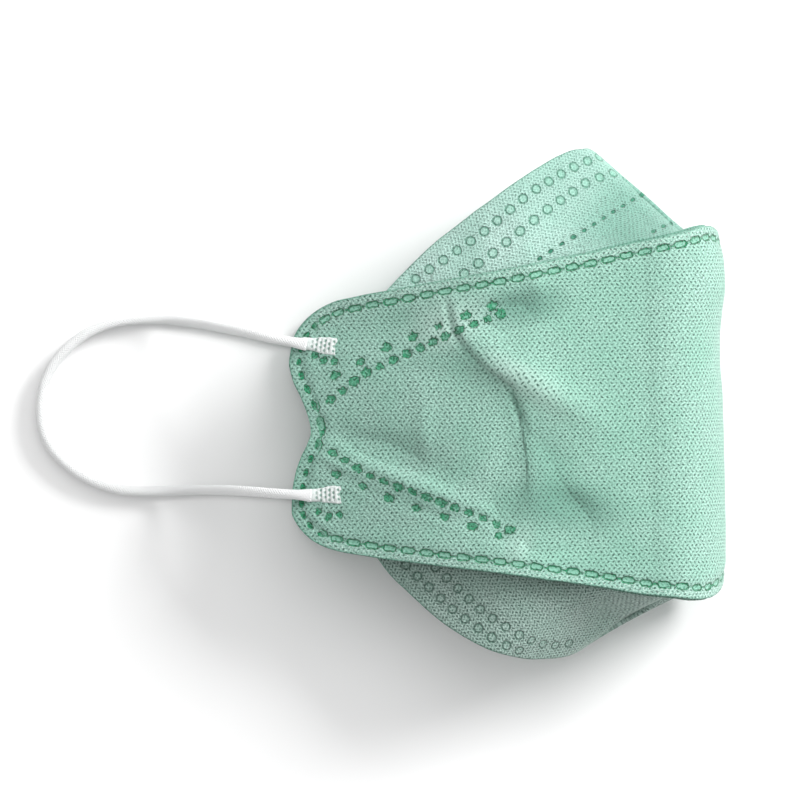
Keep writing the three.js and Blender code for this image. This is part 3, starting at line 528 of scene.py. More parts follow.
def weld_maps(rows, outer_rows):
    """Maps of the weld rows: nearest mark, and distance from the row on either side."""
    return {"marks": rows, "marks2": outer_rows,
            "off": np.stack([abs(rows[..., 1]), abs(outer_rows[..., 1])], -1)}


def centre_panel():
    near, far, rows = (185, 88, 150) if FINE else (95, 50, 76)
    crowd = 1.1  # brings the rows of points closer together towards the rims
    a = np.concatenate([-np.linspace(1, 0, far + 1)[:-1], np.linspace(0, 1, near + 1)])
    w = 0.5 + 0.5 * np.sin(np.linspace(-1, 1, rows) * crowd) / math.sin(crowd)
    a, w = np.meshgrid(a, w, indexing="ij")
    u, y = flat_point(abs(a), w)
    rim_s, rim_d = rim_of(np.stack([u, y], -1))
    inner, outer = marks_map(u, y, on_lobes(LOBE_ROWS)), marks_map(u, y, on_lobes(LOBE_OUTER_ROWS))
    run = np.where(a < 0, -u, u)
    relief = weld_relief(u, y, rim_s, rim_d)
    relief += dimple(inner, LOBE_PITCH, LOBE_DENT, 0.85) + dimple(outer, LOBE_OUTER_PITCH, LOBE_DENT, 0.9)
    relief += 0.10 * noise(u, y, 21, 9.0) + 0.05 * noise(u, y, 33, 3.4)
    relief *= 0.25 + 0.75 * smooth(-4, 4, run)
    relief += fold_relief(u, y) * smooth(FOLD_RUN * 0.8, FOLD_RUN * 1.6, run)
    crease = np.where(a < 0, MAP_END, np.minimum(crease_off(u, y), MAP_END))
    maps = {
        "flat": np.stack([run, y], -1),
        "rim": np.stack([rim_s, np.minimum(rim_d, MAP_END)], -1),
        "crease": np.stack([crease, y], -1),
        **weld_maps(inner, outer),
    }
    return cloth_mesh("centre_panel_cloth", panel_surface(run, y), maps, relief=relief)


# The two inner panels
class Inner:
    """What sets one inner panel apart, and the tent shape that falls away from its ridge."""

    def __init__(self, name, up, sections, ridge, slope, rows, outer_rows, dents):
        self.name, self.up, self.sections, self.ridge = name, up, sections, ridge
        self.slope, self.rows, self.outer_rows, self.dents = slope, rows, outer_rows, dents
        self.sections["k"] = np.arange(len(sections["rim"]), dtype=float)
        self.line = np.stack([PLAN_START - ridge["run"] * HALF_LENGTH, ridge["rise"] * HALF_HEIGHT], -1)
        last = self.line[-1] - self.line[-2]
        self.long = np.concatenate([self.line, [self.line[-1] + last * 8]])
        # Where the ridge's round goes over into the slope: angle, distance in plan and drop
        self.stop = math.atan(1 / slope)
        self.flat = RIDGE_RADIUS * (1 - math.cos(self.stop))
        self.drop = RIDGE_RADIUS * math.sin(self.stop)

    def tent(self, d):
        """How far the cloth is below the middle of the ridge, from the distance in plan."""
        arc = RIDGE_RADIUS * np.sin(np.arccos(np.clip(1 - d / RIDGE_RADIUS, -1, 1)))
        return np.where(d < self.flat, arc, self.drop + (d - self.flat) * self.slope)

    def sheet_run(self, d):
        """Distance from the ridge along the cloth, from the distance in plan."""
        arc = RIDGE_RADIUS * np.arccos(np.clip(1 - d / RIDGE_RADIUS, -1, 1))
        level = self.flat + (TENT_HEIGHT - self.drop) / self.slope
        sloped = RIDGE_RADIUS * self.stop + (np.minimum(d, level) - self.flat) * math.hypot(1, self.slope)
        return np.where(d < self.flat, arc, sloped + np.maximum(d - level, 0))


def lower(a, b):
    """The lower of two heights, rounded where they are less than blend apart."""
    blend = 4
    h = np.maximum(blend - abs(a - b), 0) / blend
    return np.minimum(a, b) - h * h


def free_points(p, side, share, t, hinge, room0, q0, free):
    """One column of the free part, a share t of the way from its hinge to its free edge."""
    on = np.stack([PLAN_START - read(p.ridge, "t", t, "run") * HALF_LENGTH,
                   read(p.ridge, "t", t, "rise") * HALF_HEIGHT], -1)
    p0, p1 = p.line[0], p.line[-1]
    t = t[..., None]
    pull = ((1 - share) ** 6)[..., None]
    xy = hinge[..., :2] + (free - hinge[..., :2]) * t + (on - p0 - (p1 - p0) * t) * pull
    x, y = xy[..., 0], xy[..., 1]
    near, far = both_sides(x)
    away = length(xy - hinge[..., :2])
    room = (near - far) / 2 - 2 * LAYER - np.minimum(OPENING, 0.12 * away)
    arch = np.minimum(1, (y / HALF_HEIGHT) ** 2)
    room = room - np.where(side > 0, ARCH * (1 - smooth(FOLD_X - 14, FOLD_X, x)) * arch, 0)
    dh, d = nearest_on(hinge[..., :2], p.long)[1], nearest_on(xy, p.long)[1]
    q = lower(p.tent(d), room) + (q0 - lower(p.tent(dh), room0)) * np.exp(-((away / HINGE_FADE) ** 2))
    q = np.where(share == 0, 0, q)
    return np.stack([x, y, (near + far) / 2 + side * q], -1)


def welded_part(p, side, share, at):
    """Columns of middle points from the rim to the hinge and round it."""
    eu, ey = on_rim(NOSE_RIM if p.up > 0 else CHIN_RIM, at["rim"])
    hu, hy = at["hinge"] * HALF_LENGTH, at["hingeUp"] * HALF_HEIGHT
    ou = eu + PEEK * smooth(0.85, 0.95, eu / HALF_LENGTH)
    oy = ey + p.up * PEEK * (1 - share ** 4)
    cols = [inside(side * (ou + (hu - ou) * f), oy + (hy - oy) * f, LAYER)[0]
            for f in np.linspace(0, 1, 12 if FINE else 6)]
    h, inward = inside(side * hu, hy, LAYER * 1.5)
    back = unit(inside(side * (hu + (hu - ou) * 0.02), hy + (hy - oy) * 0.02, LAYER * 1.5)[0] - h)
    for turn in np.linspace(0, math.pi, 7)[1:-1]:
        cols.append(h + (back * math.sin(turn) - inward * math.cos(turn)) * LAYER / 2)
    return cols + [inside(side * hu, hy, 2 * LAYER)[0]]


def free_part(p, side, share, at, start):
    """Columns of middle points from the hinge's end to the free edge."""
    near, far = both_sides(start[:, 0])
    room0 = (near - far) / 2 - 2 * LAYER
    q0 = np.where(share == 0, 0, np.maximum(0, side * (start[:, 2] - (near + far) / 2)))
    free = np.stack([PLAN_START - at["free"] * HALF_LENGTH, at["freeUp"] * HALF_HEIGHT], -1)
    return [free_points(p, side, share, np.full(len(side), t), start, room0, q0, free)
            for t in np.linspace(0, 1, 63 if FINE else 31)[1:]]


def inner_relief(p, side, across, along, marks, away):
    """Soft waves, named dents and weld dents of an inner panel, none at hinge and ridge."""
    wave = noise(across * side, along, 40 + p.up, 8.0) * 0.20 + noise(across, along, 50 + p.up, 3.0) * 0.06
    for off, at, size, out in p.dents:
        wave += out * np.exp(-((across - off) ** 2 + (along - at) ** 2) / size ** 2) * (side > 0)
    for rows in marks:
        wave += dimple(rows, RING_DENT_PITCH, RING_DENT, 0.9)
    return wave * (1 - np.exp(-((away / 5) ** 2))) * smooth(0, 6, across)


def stretch(points, flat):
    """How far a map of the cloth is from the cloth's own area at each place."""
    real = length(np.cross(np.gradient(points, axis=0), np.gradient(points, axis=1)))
    a, b = np.gradient(flat, axis=0), np.gradient(flat, axis=1)
    drawn = abs(a[..., 0] * b[..., 1] - a[..., 1] * b[..., 0])
    return abs(np.log((drawn + 1e-4) / (real + 1e-4)))


def even(field):
    """A field with its jumps evened out along both ways of the grid."""
    for _ in range(12):
        for f in (field, field.T):
            f[1:-1] = (f[:-2] + 2 * f[1:-1] + f[2:]) / 4
    return field


def inner_panel(p):
    half = 170 if FINE else 80
    n = np.arange(-half, half + 1)
    side, share = np.where(n < 0, -1.0, 1.0), abs(n) / half
    at = {c: read(p.sections, "k", share * (len(p.sections["rim"]) - 1), c) for c in p.sections}
    cols = welded_part(p, side, share, at)
    start, welded = cols[-1], len(cols)
    mid = np.stack(cols + free_part(p, side, share, at, start), 1)
    along, off, _ = nearest_on(mid[..., :2], p.long)
    across, sides = p.sheet_run(off), side[:, None] + 0 * off
    marks = [marks_map(across, along, rows) for rows in (p.rows, p.outer_rows)]
    for rows in marks:
        rows[:, :welded] = [0, MAP_END]
    rim_d = np.minimum(length(mid - mid[:, :1]), length(mid - mid[:, -1:]))
    rim_s = run_along(mid[:, -1])[:, None] + 0 * off
    away = length(mid - start[:, None])
    wave = inner_relief(p, sides, across, along, marks, away)
    wave[:, :welded] = 0
    mid[..., 2] += sides * wave
    hinge_run = run_along(start)
    flat = np.stack([across * sides, along], -1)
    hinge = np.stack([(hinge_run - hinge_run[half])[:, None] + 0 * away, away], -1)
    pick = even(stretch(mid, flat) - stretch(mid, hinge))
    maps = {
        "flat": flat, "hinge": hinge, "pick": np.stack([pick, pick], -1),
        "rim": np.stack([rim_s, np.minimum(rim_d, MAP_END)], -1),
        **weld_maps(*marks),
    }
    return cloth_mesh(p.name + "_cloth", mid, maps)


# Elastic loops
def smooth_path(points, step):
    """Points about step apart on a centripetal Catmull-Rom curve through the given ones."""
    ends = [points[0] * 2 - points[1]], [points[-1] * 2 - points[-2]]
    p = np.concatenate([ends[0], points, ends[1]])
    out = []
    for k in range(1, len(p) - 2):
        t = [0.0]
        for a, b in zip(p[k - 1:k + 2], p[k:k + 3]):
            t.append(t[-1] + math.sqrt(length(b - a)))
        x = np.linspace(t[1], t[2], 9)[:-1, None]
        a1, a2, a3 = ((t[i + 1] - x) / (t[i + 1] - t[i]) * p[k - 1 + i]
                      + (x - t[i]) / (t[i + 1] - t[i]) * p[k + i] for i in range(3))
        b1 = (t[2] - x) / (t[2] - t[0]) * a1 + (x - t[0]) / (t[2] - t[0]) * a2
        b2 = (t[3] - x) / (t[3] - t[1]) * a2 + (x - t[1]) / (t[3] - t[1]) * a3
        out.append((t[2] - x) / (t[2] - t[1]) * b1 + (x - t[1]) / (t[2] - t[1]) * b2)
    return finer(np.concatenate(out + [points[-1:]]), step)


def route_points(route):
    x = EAR_X - route["out"] * LOOP_REACH
    y = LOOP_MIDDLE + route["up"] * LOOP_SPREAD
    if "drop" in route:
        z = NEAR_LOBE_Z + (NEAR_CORD_Z - NEAR_LOBE_Z) * route["drop"]
    else:
        z = np.full(len(x), FAR_CORD_Z)
    return np.stack([x, y, z], -1)


def loop_cord(name, route, node):
    """A knitted elastic cord: tube with fine ribs, flattening where it meets its welds."""
    line = smooth_path(route_points(route), 0.35 if FINE else 0.8)
    n, sides = len(line), 22 if FINE else 12
    run = run_along(line)
    along = unit(np.gradient(line, axis=0))
    across = unit(np.cross(np.array([0, 0, 1.0]), along))
    up = np.cross(along, across)
    press = 1 - smooth(0, END_PRESS, np.minimum(run, run[-1] - run))
    wide, high = CORD / 2 * (1.0 + 0.28 * press), CORD / 2 * (0.96 - 0.40 * press)
    a = np.arange(sides) / sides * 2 * math.pi
    wobble = 1 + 0.035 * noise(run[:, None] + 0 * a, 3 * np.cos(a) + 0 * run[:, None], 61, 2.2)
    ring = (across[:, None] * (np.cos(a)[None, :] * wide[:, None])[..., None]
            + up[:, None] * (np.sin(a)[None, :] * high[:, None])[..., None]) * wobble[..., None]
    pts = (line[:, None] + ring).reshape(-1, 3)
    faces, uvs = [], []
    for i in range(n - 1):
        for j in range(sides):
            k = (j + 1) % sides
            faces.append((i * sides + j, i * sides + k, (i + 1) * sides + k, (i + 1) * sides + j))
            v0, v1 = j / sides * math.pi * CORD, (j + 1) / sides * math.pi * CORD
            uvs += [(run[i], v0), (run[i], v1), (run[i + 1], v1), (run[i + 1], v0)]
    caps = [tuple(range(sides))[::-1], tuple((n - 1) * sides + j for j in range(sides))]
    uvs += [(0, 0)] * (2 * sides)  # the caps, which no one sees
    mesh = smooth_mesh(name, pts, faces + caps)
    mesh.uv_layers.new(name="cord").data.foreach_set("uv", np.array(uvs, np.float32).ravel())
    obj = place(name, mesh)
    stand_for(obj, node)
    return obj


def loop_end(name, side, up, turn):
    """The flattened end of a cord, an open knit pressed onto the lobe."""
    cols, rows = (84, 40) if FINE else (30, 16)
    s, t = np.meshgrid(np.linspace(-0.30, 1, cols), np.linspace(-1, 1, rows), indexing="ij")
    ragged = 1.04 + (0.13 * noise(s * 0, t * 2.2, 71 + side, 0.7, 1)) * smooth(0.5, 1, s)
    along = END_LENGTH * s * ragged
    wide = END_WIDTH / 2 * (0.74 + 0.36 * smooth(-0.1, 0.75, s))
    across = wide * (1 + 0.11 * noise(s * 6, np.sign(t) * 3, 73 + up, 1.1, 2)) * t
    x, y = turned(along, across, -turn)
    odd = np.mod(np.floor(along / KNIT_ROW), 2)
    lump = (0.5 + 0.5 * np.cos(2 * math.pi * (along / KNIT_ROW - 0.5))) * (
        0.5 + 0.5 * np.cos(2 * math.pi * (across / KNIT_PITCH + 0.5 * odd)))
    round_off = np.sqrt(np.clip(1 - abs(t) ** 3, 0, 1)) * (1 - smooth(0.88, 1.0, s) * 0.6)
    thick = (0.42 + 0.50 * (1 - smooth(-0.3, 0.5, s))) * round_off
    thick = thick * (1 - 0.50 * lump * smooth(-0.05, 0.3, s)) * (1 + 0.12 * noise(along, across, 77, 0.8))
    thick = thick + 0.02
    x, y = x + EAR_X + END_INSET, y + LOOP_MIDDLE + up * LOOP_SPREAD / 2
    lobe, way = inside(side * (PLAN_START - x), y, 0)
    mid = lobe - way * (CLOTH / 2 + END_LIFT + thick / 2)[..., None]
    obj = cloth_mesh(name + "_knit", mid, {"cord": np.stack([along, across], -1)}, thick)
    stand_for(obj, name)
    return obj


# Materials
class Val:
    """A value in the material being made, with arithmetic."""
    tree = None

    def __init__(self, socket):
        self.socket = socket

    def put(self, kind, *more):
        """A math node of this kind over the value and the ones given."""
        return Val(add_node("Math", dict(enumerate((self, *more))), operation=kind).outputs[0])

    __add__, __sub__ = partialmethod(put, "ADD"), partialmethod(put, "SUBTRACT")
    __mul__, __truediv__ = partialmethod(put, "MULTIPLY"), partialmethod(put, "DIVIDE")
    fract, floor = partialmethod(put, "FRACT"), partialmethod(put, "FLOOR")
    abs, top = partialmethod(put, "ABSOLUTE"), partialmethod(put, "MAXIMUM")

    def flip(self):
        return self * -1 + 1

    def hypot(self, o):
        return (self * self + o * o).put("SQRT")

    def ramp(self, a, b, lo=0.0, hi=1.0):
        """Soft step from lo at a to hi at b."""
        inputs = {"Value": self, "From Min": a, "From Max": b, "To Min": lo, "To Max": hi}
        return Val(add_node("MapRange", inputs, interpolation_type="SMOOTHSTEP").outputs[0])

    def chance(self):
        """A random share for each whole number."""
        return Val(add_node("TexWhiteNoise", {"W": self.floor()}, noise_dimensions="1D").outputs["Value"])


def feed(node, inputs):
    """Sets a node's inputs, each to a value, a socket, a number or a colour."""
    for key, v in inputs.items():
        if isinstance(v, (Val, bpy.types.NodeSocket)):
            Val.tree.links.new(getattr(v, "socket", v), node.inputs[key])
        else:
            node.inputs[key].default_value = (*v, 1) if isinstance(v, tuple) else v
    return node


def add_node(kind, inputs, **settings):
    node = Val.tree.nodes.new("ShaderNode" + kind)
    for key, v in settings.items():
        setattr(node, key, v)
    return feed(node, inputs)


def uv(name):
    """The two values of one of the mesh's maps."""
    split = add_node("SeparateXYZ", {0: add_node("UVMap", {}, uv_map=name).outputs[0]})
    return Val(split.outputs[0]), Val(split.outputs[1])


def cloud(p, q, size, detail=2.0, seed=0.0):
    """Noise over two values, from -1 to 1, with lumps of about this size."""
    join = add_node("CombineXYZ", {0: p / size, 1: q / size, 2: seed})
    node = add_node("TexNoise", {"Vector": join.outputs[0], "Detail": detail, "Scale": 1.0})
    return Val(node.outputs["Fac"]) * 3.2 - 1.6


def mix(share, a, b):
    """Colour b over colour a by a share."""
    return add_node("Mix", {0: share, 6: a, 7: b}, data_type="RGBA", clamp_factor=True).outputs[2]


def most(values):
    """The largest of several values."""
    out = values[0]
    for v in values[1:]:
        out = out.top(v)
    return out


def new_material(name):
    mat = bpy.data.materials.new(name)
    mat.use_nodes = True
    Val.tree = mat.node_tree
    return mat, Val.tree.nodes["Principled BSDF"]


def finish_shader(shader, colour, height, rough, sheen, distance):
    bump = add_node("Bump", {"Height": height, "Distance": distance, "Strength": 1.0})
    feed(shader, {"Base Color": colour, "Normal": bump.outputs[0], "Roughness": rough,
                  "Sheen Weight": sheen, "Sheen Roughness": 0.5})


def brick(p, q, pitch, row):
    """Place in a cell of a brick pattern, from the cell's middle, and whether its row is odd."""
    r = q / row
    odd = r.floor().put("FLOORED_MODULO", 2.0)
    return ((p / pitch + odd * 0.5).fract() - 0.5) * pitch, (r.fract() - 0.5) * row, odd


def lens_dots(p, q, pitch, row, long, thin, tilt):
    """Lens-shaped dots in a brick pattern, turned by the tilt one way and the other."""
    x, y, odd = brick(p, q, pitch, row)
    way = odd * 2 - 1
    along, across = turned(x * way, y, tilt)
    d = along * along / (long * long) + across * across / (thin * thin)
    return d.ramp(1.9, 0.5)


def row_marks(name, pitch, long, tall, p, q, rough):
    """Along and off a row's nearest mark in shares of its half size, the mark's number, and
    a large value away from the row."""
    pos, off = uv(name)
    away = uv("off")[0 if name == "marks" else 1].ramp(1.9, 2.3, 0.0, MAP_END)
    x = (pos.fract() - 0.5) * pitch + cloud(p, q, 0.9, 3.0, 13.0) * rough
    y = off + cloud(p, q, 0.9, 3.0, 14.0) * rough
    return x / long, y / tall, pos, away


# Colours of the cloth
LIGHT = (0.296, 0.492, 0.414)  # fibres
DARK = (0.040, 0.118, 0.086)  # pits of the weave
STAIN = (0.180, 0.445, 0.325)  # greener clouds
WELD = (0.006, 0.225, 0.096)  # molten cloth
DEEP = (0.003, 0.062, 0.027)  # strokes in it
FILL = (0.100, 0.380, 0.240)  # film inside a weld
TORN = (0.190, 0.470, 0.350)  # torn film
# Painted shade and painted highlight, laid over the near side's dents and ridges
PAINTED_SHADE = (0.095, 0.225, 0.175)  # dark places of PAINTED_LIGHT_SPOTS
PAINTED_HIGHLIGHT = (0.520, 0.690, 0.620)  # pale places of PAINTED_LIGHT_SPOTS
DULL = (0.105, 0.200, 0.165)  # towards the ear ends
# Painted shade along the bottom of the crease
PAINTED_CREASE_SHADE = (0.045, 0.130, 0.095)
FUZZ = (0.640, 0.760, 0.710)  # loose fibres along the rim
EDGE = (0.045, 0.220, 0.140)  # cut edge
CLEAR = (97.5, 99.5)  # run over which the rim weld's links give way to bars

# What sets the cloths apart: tone of the colours, darkness of the pits, how much the fibres
# differ; on the inner panels the film and the rings; on the nose panel the colour of its painted shade by
# the ridge
CENTRE_LOOK = {"tone": (1.0, 1.0, 1.0), "pits": 1.0, "mixed": 0.43}
NOSE_LOOK = {"tone": (1.46, 1.26, 1.35), "pits": 0.58, "mixed": 0.30, "film": 0.25,
             "ring": (0.030, 0.200, 0.120), "painted_shading": (0.125, 0.315, 0.240)}
# The chin panel's darker, greyer tone is partly its cloth and partly painted shade of its side turned from
# the light
CHIN_LOOK = {"tone": (0.97, 0.78, 0.835), "pits": 1.0, "mixed": 0.50, "film": 0.04,
             "ring": (0.012, 0.085, 0.052)}

# Painted shade in dents and painted highlights on ridges of the near side: run and rise in mm, half widths,
# turn, share and colour
PAINTED_LIGHT_SPOTS = [
    (53.0, 24.9, 9.5, 3.9, 6, 0.62, PAINTED_SHADE),
    (45.6, -19.2, 13.0, 5.4, -8, 0.72, PAINTED_SHADE),
    (47.6, -13.1, 5.0, 8.0, 0, 0.32, PAINTED_SHADE),
    (49.1, -4.7, 4.0, 8.0, 0, 0.24, PAINTED_SHADE),
    (69.6, 21.7, 9.0, 5.5, 20, 0.42, PAINTED_HIGHLIGHT),
    (54.6, 9.3, 9.0, 3.0, -36, 0.40, PAINTED_HIGHLIGHT),
    (48.6, 4.5, 9.0, 4.0, -30, 0.25, PAINTED_HIGHLIGHT),
    (55.1, -27.6, 5.0, 3.0, 60, 0.25, PAINTED_HIGHLIGHT),
]


def toned(colour, look, by=1.0):
    return tuple(np.array(colour) * look["tone"] * by)


def fibres(p, q):
    """Long and fine fibres of the cloth."""
    return (cloud(p * 0.35 + q, q * 0.35 - p, 0.45, 4.0, 5.0),
            cloud(p * 0.2 - q, q * 0.4 + p * 0.5, 0.30, 3.0, 6.0))


def pits(p, q, wp, wq, weave):
    """Pits of the weave, uneven and worn in places. wp, wq: the map that the weave follows."""
    x = wp + cloud(wp, wq, 3.0, 1.0, 1.0) * 0.16 + cloud(wp, wq, 0.6, 2.0, 21.0) * 0.09
    y = wq + cloud(wp, wq, 3.0, 1.0, 2.0) * 0.13 + cloud(wp, wq, 0.6, 2.0, 22.0) * 0.06
    return lens_dots(x, y, *weave, 0.29, 0.155, 40) * cloud(p, q, 0.9, 1.0, 4.0).ramp(-1.1, 0.7, 0.20, 1.08)


def bare_cloth(p, q, long, fine, look):
    """Colour of the fibres and their greener clouds."""
    mixed = look["mixed"]
    colour = mix(((long + fine) * 0.5).ramp(-0.55, 0.55), toned(LIGHT, look, 1 - mixed),
                 toned(LIGHT, look, 1 + mixed))
    return mix(cloud(p, q, 9.0, 3.0, 7.0).ramp(-0.9, 1.1) * 0.38, colour, toned(STAIN, look))


def pitted(colour, holes, long, fine, look):
    colour = mix(holes * 0.92 * look["pits"], colour, toned(DARK, look))
    return colour, long * 0.22 + fine * 0.12 - holes * 0.55


def paint_light_and_tints(colour, p, q):
    """Painted shade in the near side's dents and painted highlights on its ridges, then a greener band and
    darkening towards the ear ends.
    """
    for run, rise, wide, tall, turn, share, painted_shading in PAINTED_LIGHT_SPOTS:
        x, y = turned(p * -1 + run, q - rise, turn)
        colour = mix((x / wide).hypot(y / tall).ramp(1.5, 0.2) * share, colour, painted_shading)
    colour = mix(p.abs().ramp(75.0, 38.0) * p.abs().ramp(14.0, 34.0) * 0.24, colour, STAIN)
    return mix(p.abs().ramp(55.0, 85.0) * 0.14, colour, DULL)


def creased(colour, height, p, q):
    """Painted shade: a thin dark line at the bottom of the crease, where the cloth is also dented."""
    off, rise = uv("crease")
    line = (off + cloud(p, q, 1.6, 2.0, 18.0) * 0.10).ramp(0.50, 0.08)
    line = line * rise.ramp(-17.0, -13.5) * rise.ramp(9.0, 3.0)
    return mix(line * 0.62, colour, PAINTED_CREASE_SHADE), height - line * 0.8


def rim_links(p, q, s, d):
    """The rim's weld and the film inside its links: long links with short joints, and bars
    along the ear end."""
    ear, wear = p.ramp(*CLEAR), cloud(p, q, 2.2, 2.0, 12.0)
    x = ((s / RIM_PITCH).fract() - 0.5) * RIM_PITCH + cloud(p, q, 1.0, 2.0, 9.0) * 0.24
    y = d - RIM_WELD + cloud(p, q, 1.2, 2.0, 10.0) * 0.21
    off = (x.abs() - 0.75).top(0.0).hypot(y) - 0.66
    link = off.abs().ramp(0.26, 0.08) * ear.flip() * wear.ramp(-1.3, 0.3, 0.45, 1.0)
    joint = y.abs().ramp(0.32, 0.12) * x.abs().ramp(1.25, 1.5) * wear.ramp(-0.7, 0.5) * ear.flip()
    ear_x = ((s / EAR_PITCH).fract() - 0.5) * EAR_PITCH
    bar = (ear_x / 1.15).hypot((y + 0.35) / 0.62).ramp(1.15, 0.8) * ear
    return most([link, joint, bar]), off.ramp(0.06, -0.12) * ear.flip()


def lobe_welds(p, q):
    """The lobes' round welds, each of its own size and strength, and their whole discs."""
    marks, discs = [], []
    for key, pitch in (("marks", LOBE_PITCH), ("marks2", LOBE_OUTER_PITCH)):
        x, y, pos, away = row_marks(key, pitch, 1.14, 0.94, p, q, 0.52)
        r = x.hypot(y) / (pos.chance() * 0.30 + 0.82) + away
        disc, brim = r.ramp(1.02, 0.70), (r - 0.86).abs().ramp(0.30, 0.08)
        marks += [disc * ((pos + 31.5).chance() * 0.45 + 0.45), brim * 0.95]
        discs.append(disc)
    return most(marks), most(discs)


def centre_welds(colour, height, p, q, s, d):
    links, film = rim_links(p, q, s, d)
    round_welds, disc = lobe_welds(p, q)
    marks = links.top(round_welds)
    patch = cloud(p, q, 0.75, 3.0, 15.0)
    stroke = cloud(p + q, q - p, 0.62, 3.0, 17.0)
    colour = mix((film * 0.42).top(disc * 0.60), colour, FILL)
    colour = mix(marks * patch.ramp(-0.6, 0.2, 0.62, 1.0), colour, WELD)
    colour = mix(disc * patch.ramp(0.0, -0.5) * 0.60, colour, TORN)
    colour = mix(marks.top(disc * 0.9) * stroke.ramp(0.02, 0.30) * 0.95, colour, DEEP)
    return colour, height * film.top(disc).flip() - marks * 1.3 - film * 0.35 - disc * 0.5


def ring_welds(colour, height, p, q, look):
    """Rings of the inner panels' welds; the rows after a group's first are small beads."""
    marks, discs = [], []
    for key in ("marks", "marks2"):
        x, y, pos, away = row_marks(key, RING_PITCH, 1.0, 1.0, p, q, 0.10)
        bead, r = pos.ramp(99.0, 99.9), x.hypot(y) + away
        ring = (r - 1.0).abs().ramp(0.30, 0.06) * bead.flip()
        bead_x = (pos.fract() - 0.5) * 2.85
        small = ((bead_x / 0.68).hypot(y / 0.46) + away).ramp(1.2, 0.75) * bead
        marks.append(ring.top(small * 1.45))
        discs.append(r.ramp(1.1, 0.7) * bead.flip())
    marks, disc = most(marks), most(discs)
    colour = mix(disc * look["film"], colour, FILL)
    colour = mix(marks * cloud(p, q, 1.1, 2.0, 16.0).ramp(-0.8, 0.6, 0.52, 0.76), colour, look["ring"])
    return colour, height * disc.flip() - marks * 0.9


def finish_cloth(shader, colour, height, d):
    colour = mix(d.ramp(0.42, 0.10) * 0.50, colour, EDGE)
    finish_shader(shader, colour, height, 0.88, 0.25, 0.00030)


def centre_cloth():
    mat, shader = new_material("centre_cloth")
    (p, q), (s, d) = uv("flat"), uv("rim")
    long, fine = fibres(p, q)
    colour = paint_light_and_tints(bare_cloth(p, q, long, fine, CENTRE_LOOK), p, q)
    colour, height = pitted(colour, pits(p, q, p, q, CENTRE_WEAVE), long, fine, CENTRE_LOOK)
    colour, height = creased(colour, height, p, q)
    colour, height = centre_welds(colour, height, p, q, s, d)
    speck = (fine + long * 0.5).ramp(-0.2, 0.9) * d.ramp(2.0, 1.3) * p.ramp(*CLEAR).flip()
    finish_cloth(shader, mix(speck * 0.55, colour, FUZZ), height, d)
    return mat


def inner_cloth(name, look):
    """Cloth of an inner panel. Its weave follows the map that is stretched less: that of the
    ridge or, near the hinge, that of the hinge."""
    mat, shader = new_material(name)
    (p, q), d = uv("flat"), uv("rim")[1]
    (hp, hq), pick = uv("hinge"), uv("pick")[0].ramp(-0.001, 0.001)
    wp, wq = p + (hp - p) * pick, q + (hq - q) * pick
    long, fine = fibres(wp, wq)
    colour = bare_cloth(p, q, long, fine, look)
    if "painted_shading" in look:
        # Painted shade along the nose panel's ridge, strongest near its hinge
        painted_shading = p.abs().ramp(34.0, 12.0) * q.ramp(30.0, 20.0, 0.55, 1.0)
        colour = mix(painted_shading * 0.74, colour, look["painted_shading"])
    holes = pits(p, q, wp, wq, INNER_WEAVE) * p.abs().ramp(0.6, 3.5, 0.10, 1.0)
    colour, height = pitted(colour, holes, long, fine, look)
    colour, height = ring_welds(colour, height, p, q, look)
    finish_cloth(shader, colour, height, d)
    return mat


def knit_material():
    """Open knit of the loops' flattened ends, with dark holes."""
    mat, shader = new_material("elastic_knit")
    s, a = uv("cord")
    x, y, _ = brick(a, s, KNIT_PITCH, KNIT_ROW)
    bend = cloud(s, a, 0.9, 2.0, 2.0) * 0.5
    hole = (x / 0.34 + bend).hypot(y / 0.30 + bend).ramp(1.2, 0.5) * s.ramp(-0.4, 0.8)
    hole = hole * a.abs().ramp(1.55, 1.2) * cloud(s, a, 1.5, 1.0, 5.0).ramp(-1.4, 0.2, 0.25, 1.0)
    thread = cloud(s * 2, a, 0.3, 2.0, 3.0)
    colour = mix(hole * 0.85, (0.66, 0.71, 0.695), (0.09, 0.23, 0.17))
    finish_shader(shader, colour, thread * 0.25 - hole, 0.75, 0.15, 0.00018)
    return mat


def cord_material():
    """White elastic with a fine braid."""
    mat, shader = new_material("elastic_cord")
    s, a = uv("cord")
    braid, other = (s + a * 0.9) / 0.62, (s - a * 0.9) / 0.62
    w = (braid.fract() - 0.5).abs() * (other.fract() - 0.5).abs() * 4
    fluff = cloud(s * 0.7, a, 0.35, 3.0, 4.0)
    colour = mix(w * 0.42 + fluff * 0.10, (0.850, 0.860, 0.860), (0.66, 0.675, 0.675))
    finish_shader(shader, colour, fluff * 0.35 - w, 0.75, 0.15, 0.00018)
    return mat


# The pieces
centre = centre_panel()
nose = inner_panel(Inner("nose_panel", 1, NOSE_SECTIONS, NOSE_RIDGE, slope=0.55, rows=NOSE_ROWS,
                         outer_rows=NOSE_OUTER_ROWS, dents=[(17, 15, 9, -2.4)]))
chin = inner_panel(Inner("chin_panel", -1, CHIN_SECTIONS, CHIN_RIDGE, slope=1.0, rows=CHIN_ROWS,
                         outer_rows=CHIN_OUTER_ROWS, dents=[(18, 30, 9, -1.2)]))
for obj, mat, node, slot_name in (
        (centre, centre_cloth(), "centre_panel", "middle_cloth"),
        (nose, inner_cloth("nose_cloth", NOSE_LOOK), "nose_panel", "inner_cloth"),
        (chin, inner_cloth("chin_cloth", CHIN_LOOK), "chin_panel", "inner_cloth")):
    obj.data.materials.append(mat)
    stand_for(obj, node)

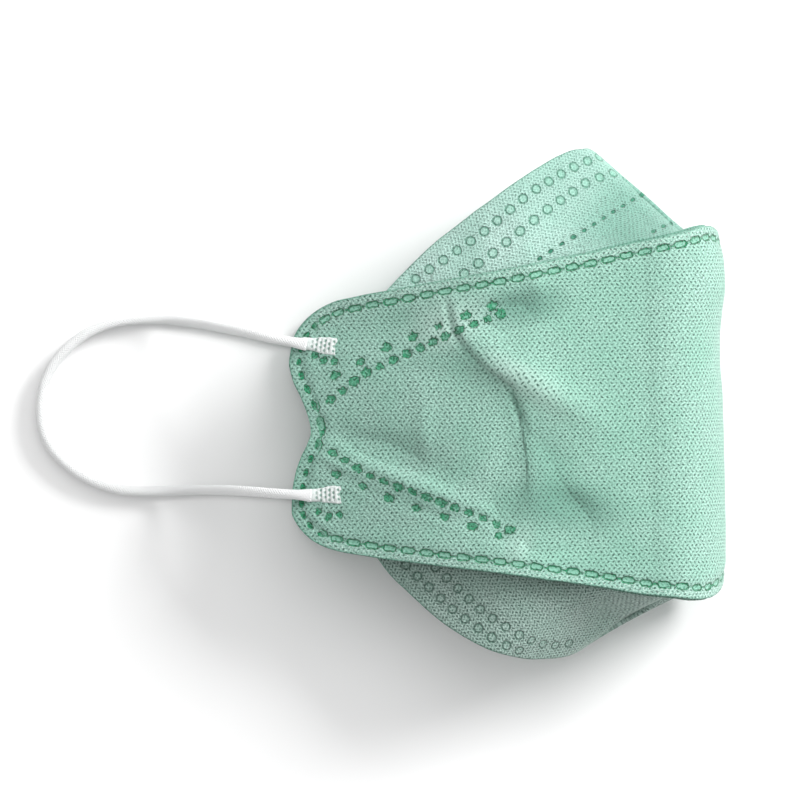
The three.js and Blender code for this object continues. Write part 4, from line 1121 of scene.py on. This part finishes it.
knit, plain = knit_material(), cord_material()
for name, side, up, turn in (("near_loop_upper_end", 1, 1, -8), ("near_loop_lower_end", 1, -1, 0),
                             ("far_loop_upper_end", -1, 1, -8), ("far_loop_lower_end", -1, -1, 0)):
    loop_end(name, side, up, turn).data.materials.append(knit)
for name, route in (("near_ear_loop", NEAR_LOOP_ROUTE), ("far_ear_loop", FAR_LOOP_ROUTE)):
    loop_cord(name + "_cord", route, name).data.materials.append(plain)

# Floor, light and camera, in metres
mat, shader = new_material("floor")
feed(shader, {"Base Color": (0.93, 0.93, 0.93), "Roughness": 0.9})
bpy.ops.mesh.primitive_plane_add(size=6, location=(0, 0, 0))
floor = bpy.context.object
floor.name = "floor"
floor.data.materials.append(mat)


def area_light(name, at, target, size, power):
    data = bpy.data.lights.new(name, "AREA")
    data.energy, data.size = power, size
    obj = place(name, data)
    obj.location = at
    obj.rotation_euler = (Vector(target) - Vector(at)).to_track_quat("-Z", "Y").to_euler()


area_light("key", (0.95, 0.66, 0.72), (0, 0, 0.01), 0.60, 20)
area_light("top", (0.0, 0.6, 1.5), (0, 0, 0.01), 1.4, 9)
area_light("side", (1.3, -0.05, 0.22), (0.04, 0, 0.02), 0.3, 2.5)
world = bpy.data.worlds.new("world")
bpy.context.scene.world = world
world.use_nodes = True
world.node_tree.nodes["Background"].inputs[0].default_value = (1, 1, 1, 1)
world.node_tree.nodes["Background"].inputs[1].default_value = 0.56

# The photo's view from straight above
PICTURE = 800                      # pixels
PIXEL = 0.22 * MM                  # on the view's level
CAMERA_HEIGHT = 2.4
VIEW_LEVEL = 0.03
VIEW_MIDDLE = (-0.02404, 0.00192)
VIEW_TURN = 1.9                    # degrees
cam = bpy.data.cameras.new("camera")
cam.sensor_width = 36
cam.lens = cam.sensor_width * (CAMERA_HEIGHT - VIEW_LEVEL) / (PIXEL * PICTURE)
cam.clip_start, cam.clip_end = 0.1, 20
camera = place("camera", cam)
camera.location = (*VIEW_MIDDLE, CAMERA_HEIGHT)
camera.rotation_euler = (0, 0, -math.radians(VIEW_TURN))
scene = bpy.context.scene
scene.camera = camera
scene.render.resolution_x = scene.render.resolution_y = PICTURE
scene.view_settings.view_transform = "Standard"
